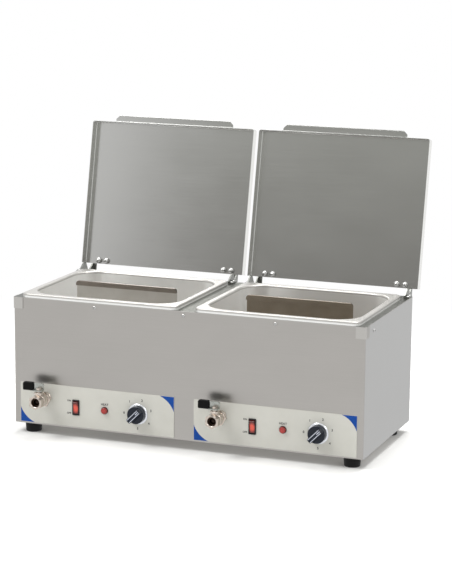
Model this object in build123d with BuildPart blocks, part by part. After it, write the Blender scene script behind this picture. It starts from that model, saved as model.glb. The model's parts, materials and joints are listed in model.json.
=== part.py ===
from build123d import *
from math import cos, radians, sin, tan
import os

os.makedirs("parts", exist_ok=True)

# Counter-top sausage warmer: two water tanks side by side in one steel casing, each with a
# hinged lid, a drain tap, a rocker switch, a pilot lamp and a thermostat knob of its own.
# Millimetres. X to the right, Y to the back, Z up. The floor is z = 0, the middle of the
# casing is x = 0, and y = 0 is half way between the tap mouths and the top of the open lids.

# Casing
case_w = 674
case_d = 290
case_h = 236.5
sheet = 1
bend_r = 2
fold_w = 14
fold_depth = 20
cap_l = 18
cap_h = 21
cap_t = 1.2

# Feet
foot_h = 19.3
foot_r = 16
foot_taper = 4
foot_edge = 2
foot_side = 27
foot_front = 23
foot_rear = 38
foot_recess_r = 7
foot_recess_h = 7
foot_screw_r = 2.5
foot_screw_head_r = 4.5
foot_screw_head_h = 3.5
foot_screw_grip = 8

# Tanks
tank_in = 3.35
rim_side = 14.65
rim_d = 264.7
rim_front = 1
rim_h = 7.3
rim_corner_r = 13
flange_w = 12
tank_corner_r = 46
tank_depth = 150
tank_floor_r = 12
rim_bend_r = 2.5
tank_seat_gap = 1.5

# Lift-out racks
rack_gap = 3
rack_lift = 26
rack_leg_r = 3
rack_leg_gap = 0.3
rack_leg_inset = 26
rack_edge_h = 8
rack_hole_r = 7
rack_hole_pitch_x = 38
rack_hole_pitch_y = 44
rack_hole_margin_x = 24
rack_hole_margin_y = 50
rack_handle_side = 40
rack_handle_rise = 12
rack_handle_corner_r = 6
rack_lip_h = 9
rack_lip_d = 5

# Lids and their hinges
lid_overhang = 4.7
lid_gap = 10.8
lid_l = 279.5
lid_skirt_h = 19
lid_t = 1
lid_corner_r = 4
open_angle = 101.7
pin_back = 6.5
pin_drop = 5.3
pin_r = 2.5
pin_head_r = 4
pin_head_t = 1.4
turn_gap = 0.05
side_gap = 0.5
lid_behind = 18
lid_rise = 25
lid_handle_side = 45.65
lid_handle_d = 13
lid_handle_t = 1.2
lid_handle_chamfer = 7
lid_handle_fold_h = 8
lid_handle_hem_h = 3.2
lid_handle_mid = 9.5
hinge_in = 15.6
hinge_t = 2.5
wing_r = 4.8
wing_neck_h = 7.5
wing_reach_h = 19
flange_l = 37
flange_depth = 15
arm_neck_w = 8
lid_bolt_first = 13.4
lid_bolt_pitch = 16
lid_bolt_edge = 7
lid_bolt_r = 3
lid_bolt_af = 10
lid_bolt_head_h = 4
dome_nut_h = 9
dome_hex_h = 5
dome_step = 0.4
dome_round = 3.4
ear_r = 5.8
ear_depth = 21
ear_rise = 15
ear_top_w = 10
ear_top_back = 3
bracket_foot_w = 9.5
stop_reach = 12
stop_l = 7
stop_t = 2.5
stop_gap = 0.3

# Screws of the casing and the hinge brackets
screw_r = 1.75
screw_head_r = 3.3
screw_head_h = 2
screw_head_taper = 25
screw_l = 6
front_screw_shift = -2.5
front_screw_drop = 8
side_screw_back = 49
side_screw_drop = 15
rear_screw_drop = 30
bracket_screw_pitch = 11

# Control panels on the front
panel_in = 1.55
panel_side = 15.15
panel_h = 75.5
panel_t = 1
panel_drop = 2.7
control_z = 39.3
tap_dx = -100
switch_dx = -40.8
lamp_dx = 16.5
knob_dx = 82

# Drain taps
tap_rise = 53.3
tap_reach = 50
tap_bore_r = 6
shank_r = 9
shank_l = 16
shank_gap = 0.3
neck_l = 13
collar_af = 27
collar_h = 7
barrel_r = 12.5
mouth_af = 24
mouth_l = 12
mouth_edge = 1
outlet_r = 8
outlet_l = 5.5
stem_reach = 34.5
ball_r = 9
ball_gap = 0.3
boss_r = 7
boss_rise = 17
stem_r = 4
stem_tip_r = 3
stem_seat = 7.5
lever_rise = 19
lever_t = 2
lever_front = 6
lever_back = 6
lever_tail = 8
lever_wall_h = 13.5
tip_head_af = 8
tip_head_h = 4
grip_start = 11
grip_l = 22
grip_h = 15.5
grip_t = 7.5
grip_wall = 2
grip_corner_r = 4
grip_edge = 1.5
tap_nut_h = 5
drain_back = 45
drain_bend_r = 20

# Heaters under the tanks
heater_plate_w = 150
heater_plate_d = 170
heater_plate_t = 2
heater_tube_r = 3.25
heater_pitch = 42
heater_bend_r = 14
heater_tail = 18
heater_sink = 0.6

# Rocker switches
bezel_w = 14
bezel_h = 29
bezel_t = 2.2
bezel_r = 1.2
switch_body_w = 12
switch_body_h = 26.4
switch_body_d = 18
rocker_w = 10
rocker_r = 12
rocker_gap = 0.35
rocker_pivot = -1
rocker_face = 3.6
rocker_back = 4
rocker_tilt = 8
rocker_pin_r = 1.2
rocker_pin_l = 0.8
switch_cavity_d = 12.5
blade_w = 6.3
blade_t = 0.8
blade_l = 8
blade_pitch = 9

# Pilot lamps
lamp_flange_r = 7
lamp_flange_t = 1.2
lamp_body_r = 5
lamp_body_l = 22
lens_r = 6.3
lens_h = 4
lens_round = 2.4

# Thermostats and their knobs
thermostat_r = 20
thermostat_d = 24
bushing_r = 5
shaft_r = 3
shaft_in = 12
shaft_out = 13
knob_stand = 0.6
skirt_r = 19.5
skirt_t = 2
skirt_taper = 30
knob_r = 16
knob_front = 12
knob_edge = 1.2
knob_bar_l = 31
knob_bar_w = 10
knob_bar_h = 10
knob_bar_taper = 5
knob_rest_angle = 45

# Rear panel, cable gland and terminal block
slot_l = 46
slot_w = 4
slot_pitch = 9
slot_rows = 6
slot_groups_pitch = 200
slot_mid_rise = 60
gland_side = 60
gland_rise = 32
gland_af = 19
gland_hex_h = 5
gland_dome_r = 8
gland_dome_h = 9
gland_dome_taper = 12
gland_shank_r = 7.5
gland_shank_l = 8
gland_nut_h = 4
gland_bore_r = 4
block_w = 62
block_d = 22
block_h = 20
block_ways = 6
block_side = 90
block_back = 50
block_screw_r = 2.4
block_screw_depth = 3

# Places that follow from the sizes above
z_base = foot_h
z_top = z_base + case_h
z_rim = z_top + rim_h
open_rad = radians(open_angle)
lid_front_y = lid_behind + lid_l
lid_w = case_w / 2 + lid_overhang - lid_gap / 2
lid_pitch = lid_w + lid_gap
lid_handle_w = lid_w - 2 * lid_handle_side
lid_reach = case_d + pin_back - lid_front_y * cos(open_rad) + lid_rise * sin(open_rad)
face_y = -(lid_reach - tap_reach) / 2
back_y = face_y + case_d
pin_y = back_y + pin_back
pin_z = z_top - pin_drop
tank_mid_y = face_y + rim_front + rim_d / 2
tank_pitch = lid_pitch - 2 * tank_in
rim_w = lid_w - 2 * rim_side
tank_w = rim_w - 2 * flange_w
tank_d = rim_d - 2 * flange_w
z_floor = z_rim - tank_depth
z_under = z_floor - sheet
tap_z = z_base + tap_rise
tap_stem_y = face_y - stem_reach
drain_y = face_y + drain_back
z_control = z_base + control_z
panel_pitch = lid_pitch - 2 * panel_in
panel_w = lid_w - 2 * panel_side
lid_normal = Axis((0, 0, 0), (0, sin(open_rad), cos(open_rad)))
lid_length = Axis((0, 0, 0), (0, cos(open_rad), -sin(open_rad)))
rack_w = tank_w - 2 * rack_gap
rack_d = tank_d - 2 * rack_gap
rack_hole_cols = 1 + int((rack_w - 2 * rack_hole_margin_x) / rack_hole_pitch_x)
rack_hole_rows = 1 + int((rack_d - 2 * rack_hole_margin_y) / rack_hole_pitch_y)
rack_handle_w = tank_w - 2 * rack_handle_side
z_rack = z_floor + rack_lift
z_grip = z_top + rack_handle_rise
skirt_back = panel_t + knob_stand
stop_low = wing_r + stop_gap

units = {"left": -1, "right": 1}


def span(x, y, mode=Mode.ADD):
    """Rectangle between two x values and two y values of the sketch plane."""
    with Locations(((x[0] + x[1]) / 2, (y[0] + y[1]) / 2)):
        Rectangle(abs(x[1] - x[0]), abs(y[1] - y[0]), mode=mode)


def outward(x, z, out=0):
    """Plane that faces the front, with its origin out in front of the casing's front wall."""
    return Plane(origin=(x, face_y - out, z), x_dir=(1, 0, 0), z_dir=(0, -1, 0))


def rearward(x, z, out=0):
    """Plane that faces the back, with its origin out behind the rear panel."""
    return Plane(origin=(x, back_y + out, z), x_dir=(-1, 0, 0), z_dir=(0, 1, 0))


def sideward(sign, y, z):
    """Plane on a side wall of the casing, facing out."""
    return Plane(origin=(sign * case_w / 2, y, z), x_dir=(0, sign, 0), z_dir=(sign, 0, 0))


def lid_plane(x, rise=0):
    """Plane of an open lid through its hinge pin: local Y points to the lid's rear edge."""
    plane = Plane(origin=(x, pin_y, pin_z), x_dir=(1, 0, 0), z_dir=(0, sin(open_rad), cos(open_rad)))
    return plane.offset(rise)


def lid_side_plane(x):
    """Upright plane across the pin that turns with the lid: local X is the lid's local Y."""
    return Plane(origin=(x, pin_y, pin_z), x_dir=(0, cos(open_rad), -sin(open_rad)), z_dir=(1, 0, 0))


def pin_side_plane(x):
    """Upright plane across the pin that stays with the casing: local X is Y, local Y is Z."""
    return Plane(origin=(x, pin_y, pin_z), x_dir=(0, 1, 0), z_dir=(1, 0, 0))


def hinge_sides(lid_sign):
    """Each hinge of one lid: the x of its wing's outer face, and the sign from it to the lid's edge."""
    lid_x = lid_sign * lid_pitch / 2
    return [(lid_x + sign * (lid_w / 2 - hinge_in), sign) for sign in (-1, 1)]


def lid_bolt_points(lid_sign):
    """Bolt centres of one lid in a lid plane whose origin is at x = 0."""
    return [
        (x - sign * (lid_bolt_first + step * lid_bolt_pitch), -lid_behind - lid_bolt_edge)
        for x, sign in hinge_sides(lid_sign)
        for step in (0, 1)
    ]


all_hinges = [hinge for sign in units.values() for hinge in hinge_sides(sign)]

# Where the small screws sit
front_screw_seats = [
    outward(front_screw_shift + step * lid_pitch / 2, z_top - front_screw_drop) for step in (-1, 0, 1)
]
side_screw_seats = [
    sideward(sign, face_y + side_screw_back, z_top - side_screw_drop) for sign in (-1, 1)
]
rear_screw_seats = [
    rearward(sign * (case_w - fold_w) / 2, z_base + rise)
    for sign in (-1, 1)
    for rise in (rear_screw_drop, case_h / 2, case_h - rear_screw_drop)
]
ear_outer = side_gap + hinge_t
bracket_screw_out = ear_outer + (bracket_foot_w - hinge_t) / 2
bracket_foot_mid_y = back_y - ear_depth / 2
bracket_screw_points = [
    (x + sign * bracket_screw_out, bracket_foot_mid_y + step * bracket_screw_pitch / 2)
    for x, sign in all_hinges
    for step in (-1, 1)
]
foot_points = [
    (sign * (case_w / 2 - foot_side), y)
    for sign in (-1, 1)
    for y in (face_y + foot_front, back_y - foot_rear)
]

# Front and both side walls in one folded sheet, with folds along the bottom and the rear edges
with BuildPart() as casing_wrap:
    with BuildSketch(Plane.XY.offset(z_base)) as wrap_plan:
        span((-case_w / 2, case_w / 2), (face_y, back_y - sheet))
        fillet(wrap_plan.vertices().group_by(Axis.Y)[0], bend_r)
        offset(amount=-sheet, kind=Kind.INTERSECTION, mode=Mode.SUBTRACT)
        span((fold_w - case_w / 2, case_w / 2 - fold_w), (back_y - 3 * sheet, back_y), Mode.SUBTRACT)
    extrude(amount=case_h - sheet)
    with BuildSketch(Plane.XY.offset(z_base + sheet)):
        span((sheet - case_w / 2, case_w / 2 - sheet), (face_y + sheet, back_y - 2 * sheet))
        span((fold_w - case_w / 2, case_w / 2 - fold_w), (face_y + fold_w, back_y), Mode.SUBTRACT)
    extrude(amount=sheet)
    for sign in units.values():
        panel_x = sign * panel_pitch / 2
        with BuildSketch(outward(panel_x + tap_dx, tap_z)):
            Circle(shank_r + shank_gap)
        extrude(amount=-sheet, mode=Mode.SUBTRACT)
        with BuildSketch(outward(panel_x, z_control)):
            with Locations((switch_dx, 0)):
                Rectangle(switch_body_w, switch_body_h)
            with Locations((lamp_dx, 0)):
                Circle(lamp_body_r)
            with Locations((knob_dx, 0)):
                Circle(bushing_r)
        extrude(amount=-sheet, mode=Mode.SUBTRACT)
    with BuildSketch(*front_screw_seats, *side_screw_seats, *rear_screw_seats):
        Circle(screw_r)
    extrude(amount=-2 * sheet, mode=Mode.SUBTRACT)
    with BuildSketch(Plane.XY.offset(z_base)):
        with Locations(*foot_points):
            Circle(foot_screw_r)
    extrude(amount=2 * sheet, mode=Mode.SUBTRACT)
casing_wrap.part.label = "casing_wrap"
export_step(casing_wrap.part, "parts/casing_wrap.step")

# Flat rear panel with louvre slots
with BuildPart() as rear_panel:
    with BuildSketch(rearward(0, z_base)):
        span((-case_w / 2, case_w / 2), (0, case_h - sheet))
        with Locations((0, slot_mid_rise)):
            with GridLocations(slot_groups_pitch, slot_pitch, 2, slot_rows):
                SlotOverall(slot_l, slot_w, mode=Mode.SUBTRACT)
        with Locations((-(case_w / 2 - gland_side), gland_rise)):
            Circle(gland_shank_r, mode=Mode.SUBTRACT)
    extrude(amount=-sheet)
    with BuildSketch(*rear_screw_seats):
        Circle(screw_r)
    extrude(amount=-sheet, mode=Mode.SUBTRACT)
rear_panel.part.label = "rear_panel"
export_step(rear_panel.part, "parts/rear_panel.step")

# Bottom plate, under the wrap's bottom folds
with BuildPart() as base_plate:
    with BuildSketch(Plane.XY.offset(z_base)) as base_plan:
        span((sheet - case_w / 2, case_w / 2 - sheet), (face_y + sheet, back_y - 2 * sheet))
        fillet(base_plan.vertices(), bend_r)
        with Locations((0, (face_y + back_y) / 2)):
            with GridLocations(slot_groups_pitch, slot_pitch, 2, slot_rows):
                SlotOverall(slot_l, slot_w, mode=Mode.SUBTRACT)
        with Locations(*foot_points):
            Circle(foot_screw_r, mode=Mode.SUBTRACT)
    extrude(amount=sheet)
base_plate.part.label = "base_plate"
export_step(base_plate.part, "parts/base_plate.step")

# Top deck with an opening for each tank, folds inside the walls and a cap on each front corner
with BuildPart() as top_deck:
    with BuildSketch(Plane.XY.offset(z_top - sheet)) as deck_plan:
        span((-case_w / 2, case_w / 2), (face_y, back_y))
        fillet(deck_plan.vertices().group_by(Axis.Y)[0], bend_r)
        for sign in units.values():
            with Locations((sign * tank_pitch / 2, tank_mid_y)):
                RectangleRounded(
                    tank_w + 2 * (sheet + rim_bend_r + tank_seat_gap),
                    tank_d + 2 * (sheet + rim_bend_r + tank_seat_gap),
                    tank_corner_r,
                    mode=Mode.SUBTRACT,
                )
    extrude(amount=sheet)
    with BuildSketch(Plane.XY.offset(z_top - sheet)) as skirt_plan:
        span((sheet - case_w / 2, case_w / 2 - sheet), (face_y + sheet, back_y - 2 * sheet))
        fillet(skirt_plan.vertices(), bend_r)
        offset(amount=-sheet, kind=Kind.INTERSECTION, mode=Mode.SUBTRACT)
    extrude(amount=-fold_depth)
    with BuildSketch(Plane.XY.offset(z_top)) as cap_plan:
        for sign in units.values():
            span(
                (sign * (case_w / 2 - cap_l), sign * (case_w / 2 + cap_t)),
                (face_y - cap_t, face_y + cap_l),
            )
        outer_corners = cap_plan.vertices().group_by(Axis.Y)[0].sort_by(Axis.X)
        fillet([outer_corners[0], outer_corners[-1]], bend_r + cap_t)
        span((-case_w / 2, case_w / 2), (face_y, back_y), Mode.SUBTRACT)
    extrude(amount=-cap_h)
    with BuildSketch(*front_screw_seats, *side_screw_seats):
        Circle(screw_r)
    extrude(amount=-2 * sheet, mode=Mode.SUBTRACT)
    with BuildSketch(Plane.XY.offset(z_top)):
        with Locations(*bracket_screw_points):
            Circle(screw_r)
    extrude(amount=-sheet, mode=Mode.SUBTRACT)
top_deck.part.label = "top_deck"
export_step(top_deck.part, "parts/top_deck.step")

for side, sign in units.items():
    tank_x = sign * tank_pitch / 2
    panel_x = sign * panel_pitch / 2
    tap_x = panel_x + tap_dx
    switch_x = panel_x + switch_dx
    lamp_x = panel_x + lamp_dx
    knob_x = panel_x + knob_dx
    lid_x = sign * lid_pitch / 2

    # The space for water, which is cut out of the tank
    with BuildPart() as water_space:
        with BuildSketch(Plane.XY.offset(z_floor)):
            with Locations((tank_x, tank_mid_y)):
                RectangleRounded(tank_w, tank_d, tank_corner_r)
        extrude(amount=tank_depth)
        fillet(water_space.edges().group_by(Axis.Z)[0], tank_floor_r)

    # Drawn tank: a round-cornered basin that hangs in the deck by its rim
    with BuildPart() as tank:
        with BuildSketch(Plane.XY.offset(z_under)):
            with Locations((tank_x, tank_mid_y)):
                RectangleRounded(tank_w + 2 * sheet, tank_d + 2 * sheet, tank_corner_r + sheet)
        extrude(amount=z_rim - z_under)
        fillet(tank.edges().group_by(Axis.Z)[0], tank_floor_r + sheet)
        with BuildSketch(Plane.XY.offset(z_rim - sheet)):
            with Locations((tank_x, tank_mid_y)):
                RectangleRounded(rim_w, rim_d, rim_corner_r)
        extrude(amount=sheet)
        flange_under = tank.faces().filter_by(Plane.XY).group_by(Axis.Z)[-2].sort_by(SortBy.AREA)[-1]
        fillet(flange_under.inner_wires()[0].edges(), rim_bend_r)
        with BuildSketch(Plane.XY.offset(z_rim)):
            with Locations((tank_x, tank_mid_y)):
                RectangleRounded(rim_w, rim_d, rim_corner_r)
                offset(amount=-sheet, mode=Mode.SUBTRACT)
        extrude(amount=-rim_h)
        add(water_space.part, mode=Mode.SUBTRACT)
        fillet(tank.faces().sort_by(Axis.Z)[-1].inner_wires()[0].edges(), rim_bend_r + sheet)
        with BuildSketch(Plane.XY.offset(z_under)):
            with Locations((tap_x, drain_y)):
                Circle(tap_bore_r)
        extrude(amount=2 * sheet, mode=Mode.SUBTRACT)
    tank.part.label = f"tank_{side}"
    export_step(tank.part, f"parts/tank_{side}.step")

    # False bottom that lifts out, with an upright plate across it that serves as its handle
    with BuildPart() as rack:
        with BuildSketch(Plane.XY.offset(z_rack)):
            with Locations((tank_x, tank_mid_y)):
                RectangleRounded(rack_w, rack_d, tank_corner_r - rack_gap)
                with GridLocations(rack_hole_pitch_x, rack_hole_pitch_y, rack_hole_cols, rack_hole_rows):
                    Circle(rack_hole_r, mode=Mode.SUBTRACT)
        extrude(amount=sheet)
        with BuildSketch(Plane.XY.offset(z_rack)):
            with Locations((tank_x, tank_mid_y)):
                RectangleRounded(rack_w, rack_d, tank_corner_r - rack_gap)
                offset(amount=-sheet, mode=Mode.SUBTRACT)
        extrude(amount=-rack_edge_h)
        with BuildSketch(Plane.XY.offset(z_floor + rack_leg_gap)):
            with Locations((tank_x, tank_mid_y)):
                with GridLocations(rack_w - 2 * rack_leg_inset, rack_d - 2 * rack_leg_inset, 2, 2):
                    Circle(rack_leg_r)
        extrude(amount=rack_lift - rack_leg_gap)
        with BuildSketch(Plane.XZ.offset(-tank_mid_y - sheet / 2)) as grip_plan:
            span((tank_x - rack_handle_w / 2, tank_x + rack_handle_w / 2), (z_rack, z_grip))
            fillet(grip_plan.vertices().group_by(Axis.Y)[-1], rack_handle_corner_r)
        extrude(amount=sheet)
        with BuildSketch(Plane.XZ.offset(sheet / 2 - tank_mid_y)) as lip_plan:
            span((tank_x - rack_handle_w / 2, tank_x + rack_handle_w / 2), (z_grip - rack_lip_h, z_grip))
            fillet(lip_plan.vertices().group_by(Axis.Y)[-1], rack_handle_corner_r)
        extrude(amount=rack_lip_d)
        with BuildSketch(Plane.XZ.offset(sheet / 2 - tank_mid_y)) as lip_hollow:
            span(
                (tank_x - rack_handle_w / 2 - sheet, tank_x + rack_handle_w / 2 + sheet),
                (z_grip - rack_lip_h - sheet, z_grip - sheet),
            )
        extrude(amount=rack_lip_d - sheet, mode=Mode.SUBTRACT)
    rack.part.label = f"rack_{side}"
    export_step(rack.part, f"parts/rack_{side}.step")

    # Drain pipe: down from the tank floor and forward to the tap's shank
    with BuildPart() as drain_pipe:
        with BuildLine() as drain_route:
            FilletPolyline(
                (tap_x, drain_y, z_under),
                (tap_x, drain_y, tap_z),
                (tap_x, face_y + shank_l, tap_z),
                radius=drain_bend_r,
            )
        with BuildSketch(Plane(origin=drain_route.line @ 0, z_dir=drain_route.line % 0)):
            Circle(shank_r)
            Circle(tap_bore_r, mode=Mode.SUBTRACT)
        sweep()
    drain_pipe.part.label = f"drain_pipe_{side}"
    export_step(drain_pipe.part, f"parts/drain_pipe_{side}.step")

    # Heater: a spreader plate under the tank with a bent tube element on it
    with BuildPart() as heater:
        with BuildSketch(Plane.XY.offset(z_under)):
            with Locations((tank_x, tank_mid_y)):
                RectangleRounded(heater_plate_w, heater_plate_d, heater_tube_r)
        extrude(amount=-heater_plate_t)
        tube_z = z_under - heater_plate_t - heater_tube_r + heater_sink
        tube_front = tank_mid_y - heater_plate_d / 2
        tube_turn = tank_mid_y + heater_plate_d / 2 - heater_bend_r
        with BuildLine() as heater_route:
            FilletPolyline(
                (tank_x - 1.5 * heater_pitch, tube_front - heater_tail, tube_z),
                (tank_x - 1.5 * heater_pitch, tube_turn, tube_z),
                (tank_x - 0.5 * heater_pitch, tube_turn, tube_z),
                (tank_x - 0.5 * heater_pitch, tube_front + heater_tail, tube_z),
                (tank_x + 0.5 * heater_pitch, tube_front + heater_tail, tube_z),
                (tank_x + 0.5 * heater_pitch, tube_turn, tube_z),
                (tank_x + 1.5 * heater_pitch, tube_turn, tube_z),
                (tank_x + 1.5 * heater_pitch, tube_front - heater_tail, tube_z),
                radius=heater_bend_r,
            )
        with BuildSketch(Plane(origin=heater_route.line @ 0, z_dir=heater_route.line % 0)):
            Circle(heater_tube_r)
        sweep()
    heater.part.label = f"heater_{side}"
    export_step(heater.part, f"parts/heater_{side}.step")

    # Thin control panel on the front wall
    with BuildPart() as control_panel:
        with BuildSketch(outward(panel_x, z_control)):
            with Locations((0, z_base + panel_drop + panel_h / 2 - z_control)):
                Rectangle(panel_w, panel_h)
            with Locations((tap_dx, tap_z - z_control)):
                Circle(shank_r + shank_gap, mode=Mode.SUBTRACT)
            with Locations((switch_dx, 0)):
                Rectangle(switch_body_w, switch_body_h, mode=Mode.SUBTRACT)
            with Locations((lamp_dx, 0)):
                Circle(lamp_body_r, mode=Mode.SUBTRACT)
            with Locations((knob_dx, 0)):
                Circle(bushing_r, mode=Mode.SUBTRACT)
        extrude(amount=panel_t)
    control_panel.part.label = f"control_panel_{side}"
    export_step(control_panel.part, f"parts/control_panel_{side}.step")

    # Ball valve body: shank through the wall, hexagon collar, barrel, stem boss, hexagon mouth
    # with an outlet wider than the port behind it
    with BuildPart() as tap_body:
        with BuildSketch(outward(tap_x, tap_z, -shank_l)):
            Circle(shank_r)
        extrude(amount=shank_l + neck_l)
        with BuildSketch(outward(tap_x, tap_z, neck_l)):
            RegularPolygon(collar_af / 2, 6, major_radius=False, rotation=30)
        extrude(amount=collar_h)
        with BuildSketch(outward(tap_x, tap_z, neck_l)):
            Circle(barrel_r)
        extrude(amount=tap_reach - mouth_l - neck_l)
        with BuildSketch(outward(tap_x, tap_z, tap_reach)):
            RegularPolygon(mouth_af / 2, 6, major_radius=False)
        extrude(amount=-mouth_l)
        chamfer(tap_body.faces().sort_by(Axis.Y)[0].edges(), mouth_edge)
        with BuildSketch(Plane(origin=(tap_x, tap_stem_y, tap_z))):
            Circle(boss_r)
        extrude(amount=boss_rise)
        with BuildSketch(outward(tap_x, tap_z, -shank_l)):
            Circle(tap_bore_r)
        extrude(amount=shank_l + tap_reach, mode=Mode.SUBTRACT)
        with BuildSketch(outward(tap_x, tap_z, tap_reach)):
            Circle(outlet_r)
        extrude(amount=-outlet_l, mode=Mode.SUBTRACT)
        with Locations((tap_x, tap_stem_y, tap_z)):
            Sphere(ball_r + ball_gap, mode=Mode.SUBTRACT)
        with BuildSketch(Plane(origin=(tap_x, tap_stem_y, tap_z))):
            Circle(stem_r + turn_gap)
        extrude(amount=boss_rise, mode=Mode.SUBTRACT)
    tap_body.part.label = f"tap_body_{side}"
    export_step(tap_body.part, f"parts/tap_body_{side}.step")

    # Ball of the valve, shut: its bore lies across the flow
    with BuildPart() as tap_ball:
        with Locations((tap_x, tap_stem_y, tap_z)):
            Sphere(ball_r)
        with BuildSketch(Plane.YZ.offset(tap_x)):
            with Locations((tap_stem_y, tap_z)):
                Circle(tap_bore_r)
        extrude(amount=ball_r, both=True, mode=Mode.SUBTRACT)
        with BuildSketch(Plane(origin=(tap_x, tap_stem_y, tap_z + stem_seat))):
            Circle(ball_r)
        extrude(amount=ball_r, mode=Mode.SUBTRACT)
    tap_ball.part.label = f"tap_ball_{side}"
    export_step(tap_ball.part, f"parts/tap_ball_{side}.step")

    # Stem from the ball up through the boss, with the hexagon that holds the lever
    with BuildPart() as tap_stem:
        with BuildSketch(Plane(origin=(tap_x, tap_stem_y, tap_z + stem_seat))):
            Circle(stem_r)
        extrude(amount=lever_rise - stem_seat)
        with BuildSketch(Plane(origin=(tap_x, tap_stem_y, tap_z + lever_rise))):
            Circle(stem_tip_r)
        extrude(amount=lever_t)
        with BuildSketch(Plane(origin=(tap_x, tap_stem_y, tap_z + lever_rise + lever_t))):
            RegularPolygon(tip_head_af / 2, 6, major_radius=False)
        extrude(amount=tip_head_h)
    tap_stem.part.label = f"tap_stem_{side}"
    export_step(tap_stem.part, f"parts/tap_stem_{side}.step")

    # Lever: an angle strip, one leg on the stem and the other upright behind it
    lever_wall_y = (tap_stem_y + lever_back - lever_t, tap_stem_y + lever_back)
    with BuildPart() as tap_lever:
        with BuildSketch(Plane.XY.offset(tap_z + lever_rise)) as lever_plan:
            span((tap_x - grip_start, tap_x + lever_tail), (tap_stem_y - lever_front, lever_wall_y[1]))
            fillet(lever_plan.vertices().group_by(Axis.Y)[0], lever_front / 2)
            with Locations((tap_x, tap_stem_y)):
                Circle(stem_tip_r, mode=Mode.SUBTRACT)
        extrude(amount=lever_t)
        with BuildSketch(Plane.XZ.offset(-lever_wall_y[1])) as lever_wall:
            span(
                (tap_x - grip_start - grip_l + grip_wall, tap_x + lever_tail),
                (tap_z + lever_rise, tap_z + lever_rise + lever_wall_h),
            )
            wall_top = lever_wall.vertices().group_by(Axis.Y)[-1].sort_by(Axis.X)[-1]
            fillet(wall_top, lever_tail / 2)
        extrude(amount=lever_t)
    tap_lever.part.label = f"tap_lever_{side}"
    export_step(tap_lever.part, f"parts/tap_lever_{side}.step")

    # Sleeve pushed over the lever's upright leg
    grip_mid_y = (lever_wall_y[0] + lever_wall_y[1]) / 2
    grip_mid_z = tap_z + lever_rise + lever_wall_h / 2
    with BuildPart() as tap_grip:
        with BuildSketch(Plane.XZ.offset(-grip_mid_y)) as grip_side:
            span(
                (tap_x - grip_start - grip_l, tap_x - grip_start),
                (grip_mid_z - grip_h / 2, grip_mid_z + grip_h / 2),
            )
            fillet(grip_side.vertices().group_by(Axis.Y)[-1], grip_corner_r)
            fillet(grip_side.vertices().group_by(Axis.Y)[0].sort_by(Axis.X)[0], grip_corner_r / 2)
        extrude(amount=grip_t / 2, both=True)
        fillet(tap_grip.faces().filter_by(Plane.XZ).edges(), grip_edge)
        with BuildSketch(Plane.YZ.offset(tap_x - grip_start)):
            with Locations((grip_mid_y, grip_mid_z)):
                Rectangle(lever_t, lever_wall_h)
        extrude(amount=-(grip_l - grip_wall), mode=Mode.SUBTRACT)
    tap_grip.part.label = f"tap_grip_{side}"
    export_step(tap_grip.part, f"parts/tap_grip_{side}.step")

    # Rocker switch housing, with a cavity for the rocker and blade terminals behind
    with BuildPart() as switch_housing:
        with BuildSketch(outward(switch_x, z_control, panel_t)):
            RectangleRounded(bezel_w, bezel_h, bezel_r)
        extrude(amount=bezel_t)
        chamfer(switch_housing.faces().sort_by(Axis.Y)[0].edges(), bezel_r / 2)
        with BuildSketch(outward(switch_x, z_control, panel_t)):
            Rectangle(switch_body_w, switch_body_h)
        extrude(amount=-(panel_t + switch_body_d))
        with BuildSketch(outward(switch_x, z_control, panel_t + bezel_t)):
            Rectangle(rocker_w + 2 * rocker_gap, 2 * (rocker_r + rocker_gap))
        extrude(amount=-switch_cavity_d, mode=Mode.SUBTRACT)
        with BuildSketch(Plane.YZ.offset(switch_x)):
            with Locations((face_y - rocker_pivot, z_control)):
                Circle(rocker_pin_r + turn_gap)
        extrude(amount=rocker_w / 2 + rocker_pin_l + turn_gap, both=True, mode=Mode.SUBTRACT)
        with BuildSketch(outward(switch_x, z_control, -switch_body_d)):
            with GridLocations(1, blade_pitch, 1, 2):
                Rectangle(blade_w, blade_t)
        extrude(amount=-blade_l)
    switch_housing.part.label = f"switch_housing_{side}"
    export_step(switch_housing.part, f"parts/switch_housing_{side}.step")

    # Rocker with a shallow V face, its lower half pressed in
    rocker_plane = Plane(
        origin=(switch_x, face_y - rocker_pivot, z_control),
        x_dir=(0, -cos(radians(rocker_tilt)), -sin(radians(rocker_tilt))),
        z_dir=(1, 0, 0),
    )
    rocker_edge = rocker_face + rocker_r * tan(radians(rocker_tilt))
    with BuildPart() as switch_rocker:
        with BuildSketch(rocker_plane):
            with BuildLine():
                Polyline(
                    (-rocker_back, -rocker_r),
                    (-rocker_back, rocker_r),
                    (rocker_edge, rocker_r),
                    (rocker_face, 0),
                    (rocker_edge, -rocker_r),
                    close=True,
                )
            make_face()
            Circle(rocker_r, mode=Mode.INTERSECT)
        extrude(amount=rocker_w / 2, both=True)
        with BuildSketch(rocker_plane):
            Circle(rocker_pin_r)
        extrude(amount=rocker_w / 2 + rocker_pin_l, both=True)
    switch_rocker.part.label = f"switch_rocker_{side}"
    export_step(switch_rocker.part, f"parts/switch_rocker_{side}.step")

    # Pilot lamp: body through the wall with a flange, and a domed lens on it
    with BuildPart() as lamp_body:
        with BuildSketch(outward(lamp_x, z_control, panel_t)):
            Circle(lamp_flange_r)
        extrude(amount=lamp_flange_t)
        with BuildSketch(outward(lamp_x, z_control, panel_t)):
            Circle(lamp_body_r)
        extrude(amount=-lamp_body_l)
    lamp_body.part.label = f"lamp_body_{side}"
    export_step(lamp_body.part, f"parts/lamp_body_{side}.step")

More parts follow.
